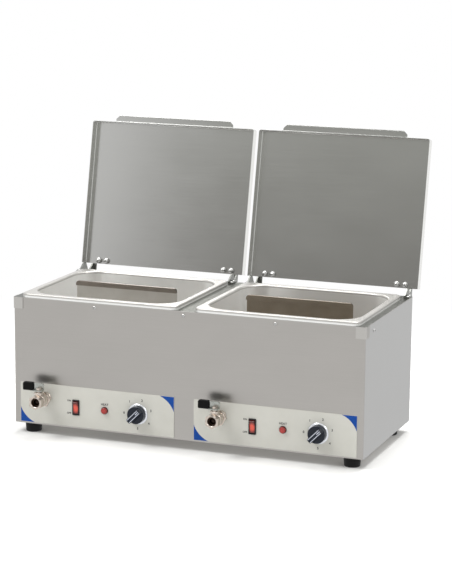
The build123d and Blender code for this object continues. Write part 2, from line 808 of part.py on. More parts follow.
    with BuildPart() as lamp_lens:
        with BuildSketch(outward(lamp_x, z_control, panel_t + lamp_flange_t)):
            Circle(lens_r)
        extrude(amount=lens_h)
        fillet(lamp_lens.faces().sort_by(Axis.Y)[0].edges(), lens_round)
    lamp_lens.part.label = f"lamp_lens_{side}"
    export_step(lamp_lens.part, f"parts/lamp_lens_{side}.step")

    # Thermostat behind the wall, its threaded bushing through it
    with BuildPart() as thermostat:
        with BuildSketch(outward(knob_x, z_control, -sheet)):
            Circle(thermostat_r)
        extrude(amount=-thermostat_d)
        with BuildSketch(outward(knob_x, z_control, panel_t)):
            Circle(bushing_r)
        extrude(amount=-(panel_t + sheet))
        with BuildSketch(outward(knob_x, z_control, panel_t)):
            Circle(shaft_r + turn_gap)
        extrude(amount=-(panel_t + shaft_in + stop_gap), mode=Mode.SUBTRACT)
    thermostat.part.label = f"thermostat_{side}"
    export_step(thermostat.part, f"parts/thermostat_{side}.step")

    with BuildPart() as thermostat_shaft:
        with BuildSketch(outward(knob_x, z_control, -shaft_in)):
            Circle(shaft_r)
        extrude(amount=shaft_in + shaft_out)
    thermostat_shaft.part.label = f"thermostat_shaft_{side}"
    export_step(thermostat_shaft.part, f"parts/thermostat_shaft_{side}.step")

    # Bright skirt behind the knob
    with BuildPart() as knob_skirt:
        with BuildSketch(outward(knob_x, z_control, skirt_back)):
            Circle(skirt_r)
        extrude(amount=skirt_t, taper=skirt_taper)
        with BuildSketch(outward(knob_x, z_control, skirt_back)):
            Circle(shaft_r)
        extrude(amount=skirt_t, mode=Mode.SUBTRACT)
    knob_skirt.part.label = f"knob_skirt_{side}"
    export_step(knob_skirt.part, f"parts/knob_skirt_{side}.step")

    # Knob: a round disc with a raised bar to turn it by, which points up to the right
    with BuildPart() as knob:
        with BuildSketch(outward(knob_x, z_control, skirt_back + skirt_t)):
            Circle(knob_r)
        extrude(amount=knob_front - skirt_t)
        fillet(knob.faces().sort_by(Axis.Y)[0].edges(), knob_edge)
        with BuildSketch(outward(knob_x, z_control, skirt_back + knob_front - knob_edge)):
            RectangleRounded(knob_bar_l, knob_bar_w, knob_bar_w / 4, rotation=knob_rest_angle)
        extrude(amount=knob_bar_h + knob_edge, taper=knob_bar_taper)
        fillet(knob.faces().sort_by(Axis.Y)[0].edges(), knob_edge)
        with BuildSketch(outward(knob_x, z_control, skirt_back)):
            Circle(shaft_r)
        extrude(amount=shaft_out - skirt_back, mode=Mode.SUBTRACT)
    knob.part.label = f"knob_{side}"
    export_step(knob.part, f"parts/knob_{side}.step")

    # The hollow under a lid, open at the bottom and the rear
    with BuildPart() as lid_hollow:
        with BuildSketch(lid_plane(lid_x, lid_rise - lid_t)) as hollow_plan:
            span((lid_t - lid_w / 2, lid_w / 2 - lid_t), (lid_t - lid_front_y, lid_t - lid_behind))
            fillet(hollow_plan.vertices().group_by(Axis.Y)[0], lid_corner_r - lid_t)
        extrude(amount=-lid_skirt_h)
        fillet(lid_hollow.edges().group_by(lid_normal)[-1].sort_by(lid_length)[:-1], bend_r - lid_t)

    # Lid: a shallow tray turned over, with folds on its front and both sides
    with BuildPart() as lid:
        with BuildSketch(lid_plane(lid_x, lid_rise)) as lid_plan:
            span((-lid_w / 2, lid_w / 2), (-lid_front_y, -lid_behind))
            fillet(lid_plan.vertices().group_by(Axis.Y)[0], lid_corner_r)
        extrude(amount=-lid_skirt_h)
        fillet(lid.edges().group_by(lid_normal)[-1].sort_by(lid_length)[:-1], bend_r)
        add(lid_hollow.part, mode=Mode.SUBTRACT)
        with BuildSketch(lid_plane(0, lid_rise)):
            with Locations(*lid_bolt_points(sign)):
                Circle(lid_bolt_r)
        extrude(amount=-lid_t, mode=Mode.SUBTRACT)
    lid.part.label = f"lid_{side}"
    export_step(lid.part, f"parts/lid_{side}.step")

    # Lid handle: a folded strip along the front edge, with a hem to grip behind
    handle_z = lid_rise - lid_handle_mid
    with BuildPart() as lid_handle:
        with BuildSketch(lid_plane(lid_x, handle_z)) as handle_plan:
            span((-lid_handle_w / 2, lid_handle_w / 2), (-lid_front_y - lid_handle_d, -lid_front_y))
            chamfer(handle_plan.vertices().group_by(Axis.Y)[0], lid_handle_chamfer)
        extrude(amount=-lid_handle_t)
        with BuildSketch(lid_plane(lid_x, handle_z)):
            span(
                (-lid_handle_w / 2, lid_handle_w / 2),
                (-lid_front_y - lid_handle_t, -lid_front_y),
            )
        extrude(amount=-lid_handle_fold_h)
        with BuildSketch(lid_plane(lid_x, handle_z)):
            span(
                (lid_handle_chamfer - lid_handle_w / 2, lid_handle_w / 2 - lid_handle_chamfer),
                (-lid_front_y - lid_handle_d, lid_handle_t - lid_front_y - lid_handle_d),
            )
        extrude(amount=-lid_handle_hem_h)
    lid_handle.part.label = f"lid_handle_{side}"
    export_step(lid_handle.part, f"parts/lid_handle_{side}.step")

    # Moving hinge arms: a flange bolted on the lid, folded into a wing that goes to the pin
    with BuildPart() as hinge_arms:
        for x, edge_sign in hinge_sides(sign):
            with BuildSketch(lid_side_plane(x)):
                with BuildLine():
                    Polyline(
                        (-wing_r, 0),
                        (-wing_r, wing_neck_h),
                        (side_gap - lid_behind, wing_reach_h),
                        (side_gap - lid_behind, lid_rise + hinge_t),
                        (wing_r, lid_rise + hinge_t),
                        (wing_r, 0),
                        close=True,
                    )
                make_face()
                Circle(wing_r)
                Circle(pin_r + turn_gap, mode=Mode.SUBTRACT)
            extrude(amount=-edge_sign * hinge_t)
            with BuildSketch(lid_plane(0, lid_rise)) as arm_plan:
                span((x, x - edge_sign * arm_neck_w), (-lid_behind, wing_r))
                span((x, x - edge_sign * flange_l), (-lid_behind - flange_depth, -lid_behind))
                far_corners = arm_plan.vertices().group_by(Axis.Y)[0]
                fillet(far_corners.sort_by(Axis.X)[::edge_sign][0], lid_bolt_af / 2)
            extrude(amount=hinge_t)
        with BuildSketch(lid_plane(0, lid_rise)):
            with Locations(*lid_bolt_points(sign)):
                Circle(lid_bolt_r)
        extrude(amount=hinge_t, mode=Mode.SUBTRACT)
    hinge_arms.part.label = f"hinge_arms_{side}"
    export_step(hinge_arms.part, f"parts/hinge_arms_{side}.step")

    # Bolts through the flanges, heads outside
    with BuildPart() as hinge_bolts:
        with BuildSketch(lid_plane(0, lid_rise + hinge_t)):
            with Locations(*lid_bolt_points(sign)):
                RegularPolygon(lid_bolt_af / 2, 6, major_radius=False)
        extrude(amount=lid_bolt_head_h)
        with BuildSketch(lid_plane(0, lid_rise + hinge_t)):
            with Locations(*lid_bolt_points(sign)):
                Circle(lid_bolt_r)
        extrude(amount=-(hinge_t + lid_t + dome_hex_h))
    hinge_bolts.part.label = f"hinge_bolts_{side}"
    export_step(hinge_bolts.part, f"parts/hinge_bolts_{side}.step")

    # Dome nuts inside the lid
    with BuildPart() as hinge_nuts:
        with BuildSketch(lid_plane(0, lid_rise - lid_t)):
            with Locations(*lid_bolt_points(sign)):
                RegularPolygon(lid_bolt_af / 2, 6, major_radius=False)
        extrude(amount=-dome_hex_h)
        with BuildSketch(lid_plane(0, lid_rise - lid_t - dome_hex_h)):
            with Locations(*lid_bolt_points(sign)):
                Circle(lid_bolt_af / 2 - dome_step)
        extrude(amount=-(dome_nut_h - dome_hex_h))
        fillet(hinge_nuts.edges().filter_by(GeomType.CIRCLE).group_by(lid_normal)[0], dome_round)
        with BuildSketch(lid_plane(0, lid_rise - lid_t)):
            with Locations(*lid_bolt_points(sign)):
                Circle(lid_bolt_r)
        extrude(amount=-dome_hex_h, mode=Mode.SUBTRACT)
    hinge_nuts.part.label = f"hinge_nuts_{side}"
    export_step(hinge_nuts.part, f"parts/hinge_nuts_{side}.step")

# Fixed hinge brackets: a foot on the deck, an ear that reaches over its rear edge to the pin, and
# a tab under the wing where an open lid comes to rest
with BuildPart() as hinge_brackets:
    for x, edge_sign in all_hinges:
        ear_x = x + edge_sign * side_gap
        with BuildSketch(pin_side_plane(ear_x)):
            with BuildLine():
                Polyline(
                    (-pin_back - ear_depth, pin_drop),
                    (-pin_back - ear_depth, pin_drop + 2 * hinge_t),
                    (-ear_top_back - ear_top_w, pin_drop + ear_rise),
                    (-ear_top_back, pin_drop + ear_rise),
                    (ear_r, pin_drop),
                    (ear_r, 0),
                    (-ear_r, 0),
                    (-ear_r, pin_drop),
                    close=True,
                )
            make_face()
            Circle(ear_r)
        extrude(amount=edge_sign * hinge_t)
        with BuildSketch(lid_side_plane(ear_x)):
            Circle(ear_r)
            span((stop_low, stop_low + stop_t), (stop_reach - stop_l / 2, stop_reach + stop_l / 2))
            make_hull()
        extrude(amount=edge_sign * hinge_t)
        with BuildSketch(lid_side_plane(ear_x)):
            span((stop_low, stop_low + stop_t), (stop_reach - stop_l / 2, stop_reach + stop_l / 2))
        extrude(amount=-edge_sign * (side_gap + hinge_t))
        with BuildSketch(Plane.XY.offset(z_top)):
            span((ear_x, ear_x + edge_sign * bracket_foot_w), (back_y - ear_depth, back_y))
            with Locations(*bracket_screw_points):
                Circle(screw_r, mode=Mode.SUBTRACT)
        extrude(amount=hinge_t)
        with BuildSketch(pin_side_plane(ear_x)):
            Circle(pin_r)
        extrude(amount=edge_sign * hinge_t, mode=Mode.SUBTRACT)
hinge_brackets.part.label = "hinge_brackets"
export_step(hinge_brackets.part, "parts/hinge_brackets.step")

# Hinge pins: headed outside the ears, with a clip beyond the wings
with BuildPart() as hinge_pins:
    for x, edge_sign in all_hinges:
        ear_outer_x = x + edge_sign * (side_gap + hinge_t)
        clip_x = x - edge_sign * (hinge_t + stop_gap)
        with BuildSketch(pin_side_plane(ear_outer_x)):
            Circle(pin_head_r)
        extrude(amount=edge_sign * pin_head_t)
        with BuildSketch(pin_side_plane(ear_outer_x)):
            Circle(pin_r)
        extrude(amount=-edge_sign * abs(ear_outer_x - clip_x))
        with BuildSketch(pin_side_plane(clip_x)):
            Circle(pin_head_r)
        extrude(amount=-edge_sign * pin_head_t)
hinge_pins.part.label = "hinge_pins"
export_step(hinge_pins.part, "parts/hinge_pins.step")

# Lock nuts of the taps, behind the front wall
with BuildPart() as tap_nuts:
    for sign in units.values():
        with BuildSketch(outward(sign * panel_pitch / 2 + tap_dx, tap_z, -sheet)):
            RegularPolygon(collar_af / 2, 6, major_radius=False)
            Circle(shank_r, mode=Mode.SUBTRACT)
        extrude(amount=-tap_nut_h)
tap_nuts.part.label = "tap_nuts"
export_step(tap_nuts.part, "parts/tap_nuts.step")

# Rubber feet, each with a recess for its screw
with BuildPart() as feet:
    with BuildSketch(Plane.XY.offset(z_base)):
        with Locations(*foot_points):
            Circle(foot_r)
    extrude(amount=-foot_h, taper=foot_taper)
    fillet(feet.edges().group_by(Axis.Z)[0], foot_edge)
    with BuildSketch(Plane.XY):
        with Locations(*foot_points):
            Circle(foot_recess_r)
    extrude(amount=foot_recess_h, mode=Mode.SUBTRACT)
    with BuildSketch(Plane.XY):
        with Locations(*foot_points):
            Circle(foot_screw_r)
    extrude(amount=foot_h, mode=Mode.SUBTRACT)
feet.part.label = "feet"
export_step(feet.part, "parts/feet.step")

with BuildPart() as foot_screws:
    with BuildSketch(Plane.XY.offset(foot_recess_h)):
        with Locations(*foot_points):
            Circle(foot_screw_head_r)
    extrude(amount=-foot_screw_head_h)
    with BuildSketch(Plane.XY.offset(foot_recess_h)):
        with Locations(*foot_points):
            Circle(foot_screw_r)
    extrude(amount=foot_h - foot_recess_h + foot_screw_grip)
foot_screws.part.label = "foot_screws"
export_step(foot_screws.part, "parts/foot_screws.step")

# Small screws of the walls
with BuildPart() as casing_screws:
    with BuildSketch(*front_screw_seats, *side_screw_seats, *rear_screw_seats):
        Circle(screw_head_r)
    extrude(amount=screw_head_h, taper=screw_head_taper)
    with BuildSketch(*front_screw_seats, *side_screw_seats, *rear_screw_seats):
        Circle(screw_r)
    extrude(amount=-screw_l)
casing_screws.part.label = "casing_screws"
export_step(casing_screws.part, "parts/casing_screws.step")

# Small screws of the hinge brackets
with BuildPart() as bracket_screws:
    with BuildSketch(Plane.XY.offset(z_top + hinge_t)):
        with Locations(*bracket_screw_points):
            Circle(screw_head_r)
    extrude(amount=screw_head_h, taper=screw_head_taper)
    with BuildSketch(Plane.XY.offset(z_top + hinge_t)):
        with Locations(*bracket_screw_points):
            Circle(screw_r)
    extrude(amount=-(hinge_t + screw_l))
bracket_screws.part.label = "bracket_screws"
export_step(bracket_screws.part, "parts/bracket_screws.step")

# Cable gland in the rear panel, with its bore for a mains lead
gland_x = case_w / 2 - gland_side
gland_z = z_base + gland_rise
with BuildPart() as cable_gland:
    with BuildSketch(rearward(gland_x, gland_z)):
        RegularPolygon(gland_af / 2, 6, major_radius=False)
    extrude(amount=gland_hex_h)
    with BuildSketch(rearward(gland_x, gland_z, gland_hex_h)):
        Circle(gland_dome_r)
    extrude(amount=gland_dome_h, taper=gland_dome_taper)
    with BuildSketch(rearward(gland_x, gland_z)):
        Circle(gland_shank_r)
    extrude(amount=-(sheet + gland_shank_l))
    with BuildSketch(rearward(gland_x, gland_z, -sheet)):
        RegularPolygon(gland_af / 2, 6, major_radius=False)
    extrude(amount=-gland_nut_h)
    with BuildSketch(rearward(gland_x, gland_z, gland_hex_h + gland_dome_h)):
        Circle(gland_bore_r)
    extrude(amount=-(gland_hex_h + gland_dome_h + sheet + gland_shank_l), mode=Mode.SUBTRACT)
cable_gland.part.label = "cable_gland"
export_step(cable_gland.part, "parts/cable_gland.step")

# Terminal block on the bottom plate, near the gland
with BuildPart() as terminal_block:
    with BuildSketch(Plane.XY.offset(z_base + sheet)):
        with Locations((case_w / 2 - block_side, back_y - block_back)):
            Rectangle(block_w, block_d)
    extrude(amount=block_h)
    with BuildSketch(Plane.XY.offset(z_base + sheet + block_h)):
        with Locations((case_w / 2 - block_side, back_y - block_back)):
            with GridLocations(block_w / block_ways, block_d / 2, block_ways, 2):
                Circle(block_screw_r)
    extrude(amount=-block_screw_depth, mode=Mode.SUBTRACT)
terminal_block.part.label = "terminal_block"
export_step(terminal_block.part, "parts/terminal_block.step")
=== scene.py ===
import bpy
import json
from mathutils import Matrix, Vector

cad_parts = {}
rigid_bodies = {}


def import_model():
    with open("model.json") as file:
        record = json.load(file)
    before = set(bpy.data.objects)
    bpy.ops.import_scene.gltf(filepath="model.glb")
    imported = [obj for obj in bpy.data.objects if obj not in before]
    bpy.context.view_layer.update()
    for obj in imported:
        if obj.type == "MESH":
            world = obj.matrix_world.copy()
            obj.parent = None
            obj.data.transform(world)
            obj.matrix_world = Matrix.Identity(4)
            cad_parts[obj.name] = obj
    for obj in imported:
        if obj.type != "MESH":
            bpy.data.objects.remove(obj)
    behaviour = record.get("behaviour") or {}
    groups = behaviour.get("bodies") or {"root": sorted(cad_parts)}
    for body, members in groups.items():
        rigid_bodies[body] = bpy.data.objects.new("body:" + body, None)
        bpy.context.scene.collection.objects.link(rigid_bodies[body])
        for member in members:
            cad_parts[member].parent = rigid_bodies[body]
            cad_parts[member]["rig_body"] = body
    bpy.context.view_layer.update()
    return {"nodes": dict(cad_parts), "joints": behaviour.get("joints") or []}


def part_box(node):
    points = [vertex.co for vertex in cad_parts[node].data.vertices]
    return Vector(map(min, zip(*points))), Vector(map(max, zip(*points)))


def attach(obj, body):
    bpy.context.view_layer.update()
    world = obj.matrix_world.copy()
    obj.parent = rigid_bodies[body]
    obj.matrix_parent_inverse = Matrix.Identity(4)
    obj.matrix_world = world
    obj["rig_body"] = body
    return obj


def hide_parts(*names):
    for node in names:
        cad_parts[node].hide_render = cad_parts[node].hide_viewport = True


bl_info = {
    "name": "Sausage Warmer",
    "version": (1, 0, 0),
    "blender": (4, 5, 0),
    "location": "View3D > Sidebar > Sausage Warmer",
    "description": "Gives the packed sausage warmer its finished surfaces and sets its stage",
    "category": "Object",
}

import json
from math import atan2, cos, degrees, pi, radians, sin, sqrt, tau

import bmesh
import bpy
from bpy.props import FloatProperty, FloatVectorProperty, IntProperty, PointerProperty, StringProperty
from mathutils import Matrix, Vector

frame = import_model()

MM = 0.001
SIDES = ("left", "right")
FRONT = Vector((0, -1, 0))
UP = Vector((0, 0, 1))

face_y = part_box("casing_wrap")[0].y
deck_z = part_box("top_deck")[1].z


def joint(name):
    """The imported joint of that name."""
    return next(item for item in frame["joints"] if item["name"] == name)


def joint_point(name):
    """A point on a packed hinge's axis."""
    return Vector(joint(name)["pos_m"])


def middle(low, high):
    """Middle of a box."""
    return (low + high) / 2


def upright(place):
    """Matrix that stands a flat thing up at a place, with its face to the front."""
    return Matrix.Translation(place) @ Matrix.Rotation(pi / 2, 4, "X")


def seated(place, axis):
    """Matrix that takes the origin to a place and turns upward to an axis."""
    return Matrix.Translation(place) @ UP.rotation_difference(axis).to_matrix().to_4x4()


# Shader nodes

def linear(hex_colour):
    """Linear RGBA of an sRGB hex colour."""
    channels = [int(hex_colour.lstrip("#")[i:i + 2], 16) / 255 for i in (0, 2, 4)]
    return [c / 12.92 if c <= 0.04045 else ((c + 0.055) / 1.055) ** 2.4 for c in channels] + [1.0]


def add_node(tree, kind, options=None, inputs=None, links=None):
    """Adds a shader node, sets its own options and inputs, and links named inputs to given outputs."""
    node = tree.nodes.new(kind)
    for name, value in (options or {}).items():
        setattr(node, name, value)
    for name, value in (inputs or {}).items():
        node.inputs[name].default_value = value
    for name, output in (links or {}).items():
        tree.links.new(output, node.inputs[name])
    return node


def new_material(name):
    """An empty node material, as (material, tree). One in use is filled anew."""
    material = bpy.data.materials.get(name) or bpy.data.materials.new(name)
    material.use_nodes = True
    material.node_tree.nodes.clear()
    return material, material.node_tree


def shaded(material, kind, inputs, links):
    """Gives a material its shader and its output, and returns the material."""
    tree = material.node_tree
    shader = add_node(tree, kind, inputs=inputs, links=links)
    add_node(tree, "ShaderNodeOutputMaterial", links={"Surface": shader.outputs[0]})
    return material


def opaque(material, colour, rough, uneven, relief, inputs, tangent=None, *, spread, strength, depth):
    """An opaque material whose roughness varies with the uneven output, on a skin raised by the relief."""
    tree = material.node_tree
    reach = {"To Min": rough - spread, "To Max": rough + spread}
    varied = add_node(tree, "ShaderNodeMapRange", inputs=reach, links={"Value": uneven})
    height = {"Strength": strength, "Distance": depth}
    bump = add_node(tree, "ShaderNodeBump", inputs=height, links={"Height": relief})
    links = {"Base Color": colour, "Roughness": varied.outputs["Result"], "Normal": bump.outputs["Normal"]}
    if tangent:
        links["Tangent"] = tangent
    return shaded(material, "ShaderNodeBsdfPrincipled", inputs, links)


# A Mix node of colours has its factor at input 0, its colours at 6 and 7 and its result at output 2
COLOURS = {"data_type": "RGBA"}


def worn_colour(tree, tone_factor, pairs, share=None):
    """Output of a dark and a light hex colour, mixed by the tone_factor output.

    A second pair takes over where the share output is 1. Callers mix by wear and grain, and also by painted
    light and shade."""
    mixed = [
        add_node(tree, "ShaderNodeMix", COLOURS, {6: linear(dark), 7: linear(light)}, {0: tone_factor}).outputs[2]
        for dark, light in pairs
    ]
    if share is None:
        return mixed[0]
    links = {0: share, 6: mixed[0], 7: mixed[1]}
    return add_node(tree, "ShaderNodeMix", COLOURS, links=links).outputs[2]


def stretched_noise(tree, sizes, detail, seed=(0, 0, 0)):
    """Output of noise whose cells have the given sizes in metres along X, Y and Z."""
    place = add_node(tree, "ShaderNodeTexCoord")
    inputs = {"Location": seed, "Scale": [1 / size for size in sizes]}
    moved = add_node(tree, "ShaderNodeMapping", inputs=inputs, links={"Vector": place.outputs["Object"]})
    inputs = {"Scale": 1.0, "Detail": detail, "Roughness": 0.55}
    noise = add_node(tree, "ShaderNodeTexNoise", inputs=inputs, links={"Vector": moved.outputs["Vector"]})
    return noise.outputs["Fac"]


def growing(tree, vector, axis, start, end, easing="LINEAR"):
    """Output that goes from 0 to 1 as a vector output's X, Y or Z goes from start to end."""
    split = add_node(tree, "ShaderNodeSeparateXYZ", links={"Vector": vector})
    inputs, links = {"From Min": start, "From Max": end}, {"Value": split.outputs[axis]}
    return add_node(tree, "ShaderNodeMapRange", {"interpolation_type": easing}, inputs, links).outputs[0]


def fading(tree, vector, start, end):
    """Output that goes softly from 0 to 1 as a vector output's length goes from start to end."""
    size = add_node(tree, "ShaderNodeVectorMath", {"operation": "LENGTH"}, links={0: vector})
    inputs, links = {"From Min": start, "From Max": end}, {"Value": size.outputs["Value"]}
    soft = {"interpolation_type": "SMOOTHSTEP"}
    return add_node(tree, "ShaderNodeMapRange", soft, inputs, links).outputs[0]


def facing(tree, axis, start, end):
    """Output that grows from 0 to 1 as a face turns towards an axis of the object, either way."""
    normal = add_node(tree, "ShaderNodeNewGeometry").outputs["Normal"]
    size = add_node(tree, "ShaderNodeVectorMath", {"operation": "ABSOLUTE"}, links={0: normal})
    return growing(tree, size.outputs["Vector"], axis, start, end)


def above(tree, height, blend):
    """Output of 1 above a height and 0 below it, with a soft step between."""
    place = add_node(tree, "ShaderNodeTexCoord").outputs["Object"]
    return growing(tree, place, "Z", height - blend / 2, height + blend / 2)


# Kinds of surface

def brushed_stainless(name, dark, light, rough, axis, axis_painted_dark, axis_painted_light, edge_tint=1.0):
    """Belt-ground stainless sheet: long fine scratches along it, and faint wiping marks.

    Faces that look along the named axis get colours of their own, which are painted light and shade. A
    lower edge tint keeps a sheet that is seen at a glancing angle from turning white."""
    scratch = 90 * MM
    wipe, wipe_height = 120 * MM, 70 * MM
    material, tree = new_material(name)
    scratches = stretched_noise(tree, [scratch, scratch, settings().sheet.grain], 3.0)
    wiped = stretched_noise(tree, [wipe, wipe, wipe_height], 2.0, (3, 1, 7))
    mix = add_node(tree, "ShaderNodeMix", inputs={"Factor": 0.5}, links={"A": scratches, "B": wiped})
    tone_factor = mix.outputs["Result"]
    along = add_node(tree, "ShaderNodeCombineXYZ", inputs={"X": 1.0, "Y": 0.6}).outputs["Vector"]
    # Painted light and shade: faces that look along the axis take the axis_painted colours
    share = facing(tree, axis, start=0.6, end=0.95)
    colour = worn_colour(tree, tone_factor, ((dark, light), (axis_painted_dark, axis_painted_light)), share)
    inputs = {"Metallic": 1.0, "Anisotropic": 0.55, "Specular Tint": (edge_tint, edge_tint, edge_tint, 1)}
    return opaque(
        material, colour, rough, tone_factor, scratches, inputs, along, spread=0.06, strength=0.1, depth=0.04 * MM
    )


def plated_metal(name, dark, light, rough, cell, upper=None, bare=1.0):
    """Plated or drawn metal without a grain: soft waviness and a little tarnish.

    With upper, a (height, dark, light), it has other colours above that height. Where it isn't
    bare, a thin pale film scatters light."""
    material, tree = new_material(name)
    waves = stretched_noise(tree, [cell] * 3, 3.0)
    fine = stretched_noise(tree, [0.5 * MM] * 3, 2.0, (5, 2, 1))
    if upper:
        height, *top = upper
        colour = worn_colour(tree, waves, ((dark, light), top), above(tree, height, blend=2 * MM))
    else:
        colour = worn_colour(tree, waves, [(dark, light)])
    inputs = {"Metallic": bare}
    return opaque(material, colour, rough, waves, fine, inputs, spread=0.05, strength=0.02, depth=0.01 * MM)


def moulded(name, dark, light, rough, grit=0.4 * MM, strength=0.1, shine=0.5):
    """Moulded plastic, rubber or a printed film: a fine skin over one colour."""
    material, tree = new_material(name)
    fine = stretched_noise(tree, [grit] * 3, 2.0)
    broad = stretched_noise(tree, [30 * MM] * 3, 2.0, (2, 9, 4))
    colour = worn_colour(tree, broad, [(dark, light)])
    inputs = {"IOR": 1.5, "Specular IOR Level": shine}
    return opaque(
        material, colour, rough, fine, fine, inputs, spread=0.06, strength=strength, depth=0.05 * MM
    )


def tinted_plastic(name, dark, light, rough, see_through, painted_glow, centre, reach):
    """Dyed clear plastic, as on lit switches and pilot lamps: the middle is painted paler with a faint
    painted glow, as painted light, and the colour darkens away from it.
    """
    material, tree = new_material(name)
    away = add_node(tree, "ShaderNodeTexCoord").outputs["Object"]
    for operation, other in (("SUBTRACT", centre), ("DIVIDE", reach)):
        step = add_node(tree, "ShaderNodeVectorMath", {"operation": operation}, {1: other}, {0: away})
        away = step.outputs["Vector"]
    colour = worn_colour(tree, fading(tree, away, start=1.0, end=0.3), [(dark, light)])
    inputs = {
        "Roughness": rough, "IOR": 1.49, "Transmission Weight": see_through,
        "Coat Weight": 0.4, "Coat Roughness": 0.05, "Emission Strength": painted_glow,
    }
    links = {"Base Color": colour, "Emission Color": colour}
    return shaded(material, "ShaderNodeBsdfPrincipled", inputs, links)


# Mesh helpers

def in_scene(name, data):
    """A new object in the scene, in place of one of that name."""
    old = bpy.data.objects.get(name)
    if old:
        bpy.data.objects.remove(old)
    item = bpy.data.objects.new(name, data)
    bpy.context.scene.collection.objects.link(item)
    return item


def taken_mesh(item):
    """Mesh of an object with its modifiers carried out. The object itself goes."""
    bpy.context.view_layer.update()
    mesh = bpy.data.meshes.new_from_object(item.evaluated_get(bpy.context.evaluated_depsgraph_get()))
    bpy.data.objects.remove(item)
    return mesh


def link_piece(name, mesh, like, material):
    """Puts a mesh in the scene as a piece that goes with a CAD node: its body."""
    piece = in_scene(name, mesh)
    mesh.materials.clear()
    mesh.materials.append(material)
    mesh.shade_smooth()
    mesh.set_sharp_from_angle(angle=radians(35))
    flat = piece.modifiers.new("flat faces stay flat", "WEIGHTED_NORMAL")
    flat.weight = 100
    flat.keep_sharp = True
    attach(piece, frame["nodes"][like]["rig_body"])
    return piece


def refinish(node, material):
    """Gives a CAD node, whose own shape stays, another material."""
    frame["nodes"][node].data.materials[0] = material


def weld(bm):
    """Joins vertices that share a place."""
    bmesh.ops.remove_doubles(bm, verts=bm.verts, dist=0.002 * MM)


def finish_mesh(name, bm):
    """Turns a bmesh into a mesh with its normals outward."""
    weld(bm)
    bmesh.ops.recalc_face_normals(bm, faces=bm.faces)
    mesh = bpy.data.meshes.new(name)
    bm.to_mesh(mesh)
    bm.free()
    return mesh


def node_mesh(node):
    """Clean bmesh of a CAD node, with its flat faces whole again."""
    source = frame["nodes"][node].data
    mesh = bpy.data.meshes.new(node)
    mesh.from_pydata([v.co for v in source.vertices], [], [p.vertices[:] for p in source.polygons])
    bm = bmesh.new()
    bm.from_mesh(mesh)
    bpy.data.meshes.remove(mesh)
    weld(bm)
    bmesh.ops.dissolve_limit(
        bm, angle_limit=radians(0.5), verts=bm.verts, edges=bm.edges, use_dissolve_boundaries=False
    )
    return bm


def softened(node, width, material, segments=2):
    """Stands in for a CAD node: the same form with its sharp edges rounded, by a width in millimetres."""
    bm = node_mesh(node)
    sharp = [
        edge for edge in bm.edges
        if len(edge.link_faces) == 2 and edge.calc_face_angle() > radians(30)
    ]
    bmesh.ops.bevel(
        bm, geom=sharp, offset=width * MM, offset_type="OFFSET", segments=segments, profile=0.5,
        affect="EDGES", clamp_overlap=True,
    )
    piece = link_piece(f"{node}_piece", finish_mesh(node, bm), node, material)
    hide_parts(node)


def solid_boxes(node):
    """Lowest and highest corner of each separate solid of a CAD node."""
    bm = node_mesh(node)
    met = set()
    boxes = []
    for first in bm.verts:
        if first in met:
            continue
        met.add(first)
        solid = [first]
        for vert in solid:
            for edge in vert.link_edges:
                other = edge.other_vert(vert)
                if other not in met:
                    met.add(other)
                    solid.append(other)
        places = [vert.co for vert in solid]
        boxes.append([Vector([pick(co[i] for co in places) for i in range(3)]) for pick in (min, max)])
    bm.free()
    return boxes


def revolve(bm, section, centre, axis, steps=48, sides=None, round_below=0.0, spin=0.0):
    """Turns (radius, height) points in millimetres about an axis into a closed solid.

    The section closes from its last point to its first, unless both are on the axis. With sides,
    the points beyond round_below follow that polygon."""
    place = seated(centre, axis)
    rings = []
    for radius, height in section:
        if not radius:
            rings.append([bm.verts.new(place @ Vector((0, 0, height * MM)))])
            continue
        circle = []
        for step in range(steps):
            turn = tau * step / steps
            reach = radius * MM
            if sides and radius > round_below:
                sector = pi / sides
                reach /= cos((turn + sector) % (2 * sector) - sector)
            turn += spin
            circle.append(bm.verts.new(place @ Vector((reach * cos(turn), reach * sin(turn), height * MM))))
        rings.append(circle)
    for low, high in zip(rings, rings[1:] + rings[:1]):
        if len(low) == len(high) == 1:
            continue
        for step in range(max(len(low), len(high))):
            after = (step + 1) % max(len(low), len(high))
            if len(low) == 1:
                bm.faces.new((low[0], high[step], high[after]))
            elif len(high) == 1:
                bm.faces.new((low[step], low[after], high[0]))
            else:
                bm.faces.new((low[step], low[after], high[after], high[step]))


def turned(name, section, centre, axis, steps=48):
    """Mesh of one turned solid."""
    bm = bmesh.new()
    revolve(bm, section, centre, axis, steps)
    return finish_mesh(name, bm)


def arc(x, y, radius, start, end, steps=6):
    """Points along an arc about a centre, from one angle in degrees to another."""
    turns = [radians(start + (end - start) * step / steps) for step in range(steps + 1)]
    return [(x + radius * cos(turn), y + radius * sin(turn)) for turn in turns]


def round_rect(half_x, half_y, radius, arc_steps=12):
    """Points round a rectangle with rounded corners, anticlockwise from its right side."""
    x, y = half_x - radius, half_y - radius
    points = []
    for corner, (sx, sy) in enumerate(((1, 1), (-1, 1), (-1, -1), (1, -1))):
        points += arc(sx * x, sy * y, radius, 90 * corner, 90 * corner + 90, arc_steps)
    return points


def bridge(bm, rings):
    """Skins neighbouring rings of vertices of equal count."""
    for low, high in zip(rings, rings[1:]):
        for step in range(len(low)):
            after = (step + 1) % len(low)
            bm.faces.new((low[step], low[after], high[after], high[step]))


def ring(bm, outline, height, place):
    """New vertices along an outline of (x, y) points, at a height over its plane."""
    return [bm.verts.new(place @ Vector((x, y, height))) for x, y in outline]


def loft(bm, rings):
    """Skins rings of vertices of equal count and closes both ends."""
    bridge(bm, rings)
    bm.faces.new(rings[-1])
    bm.faces.new(rings[0][::-1])


def prism(bm, outline, levels, place):
    """Closed prism of an outline between two heights over its plane."""
    loft(bm, [ring(bm, outline, height, place) for height in levels])


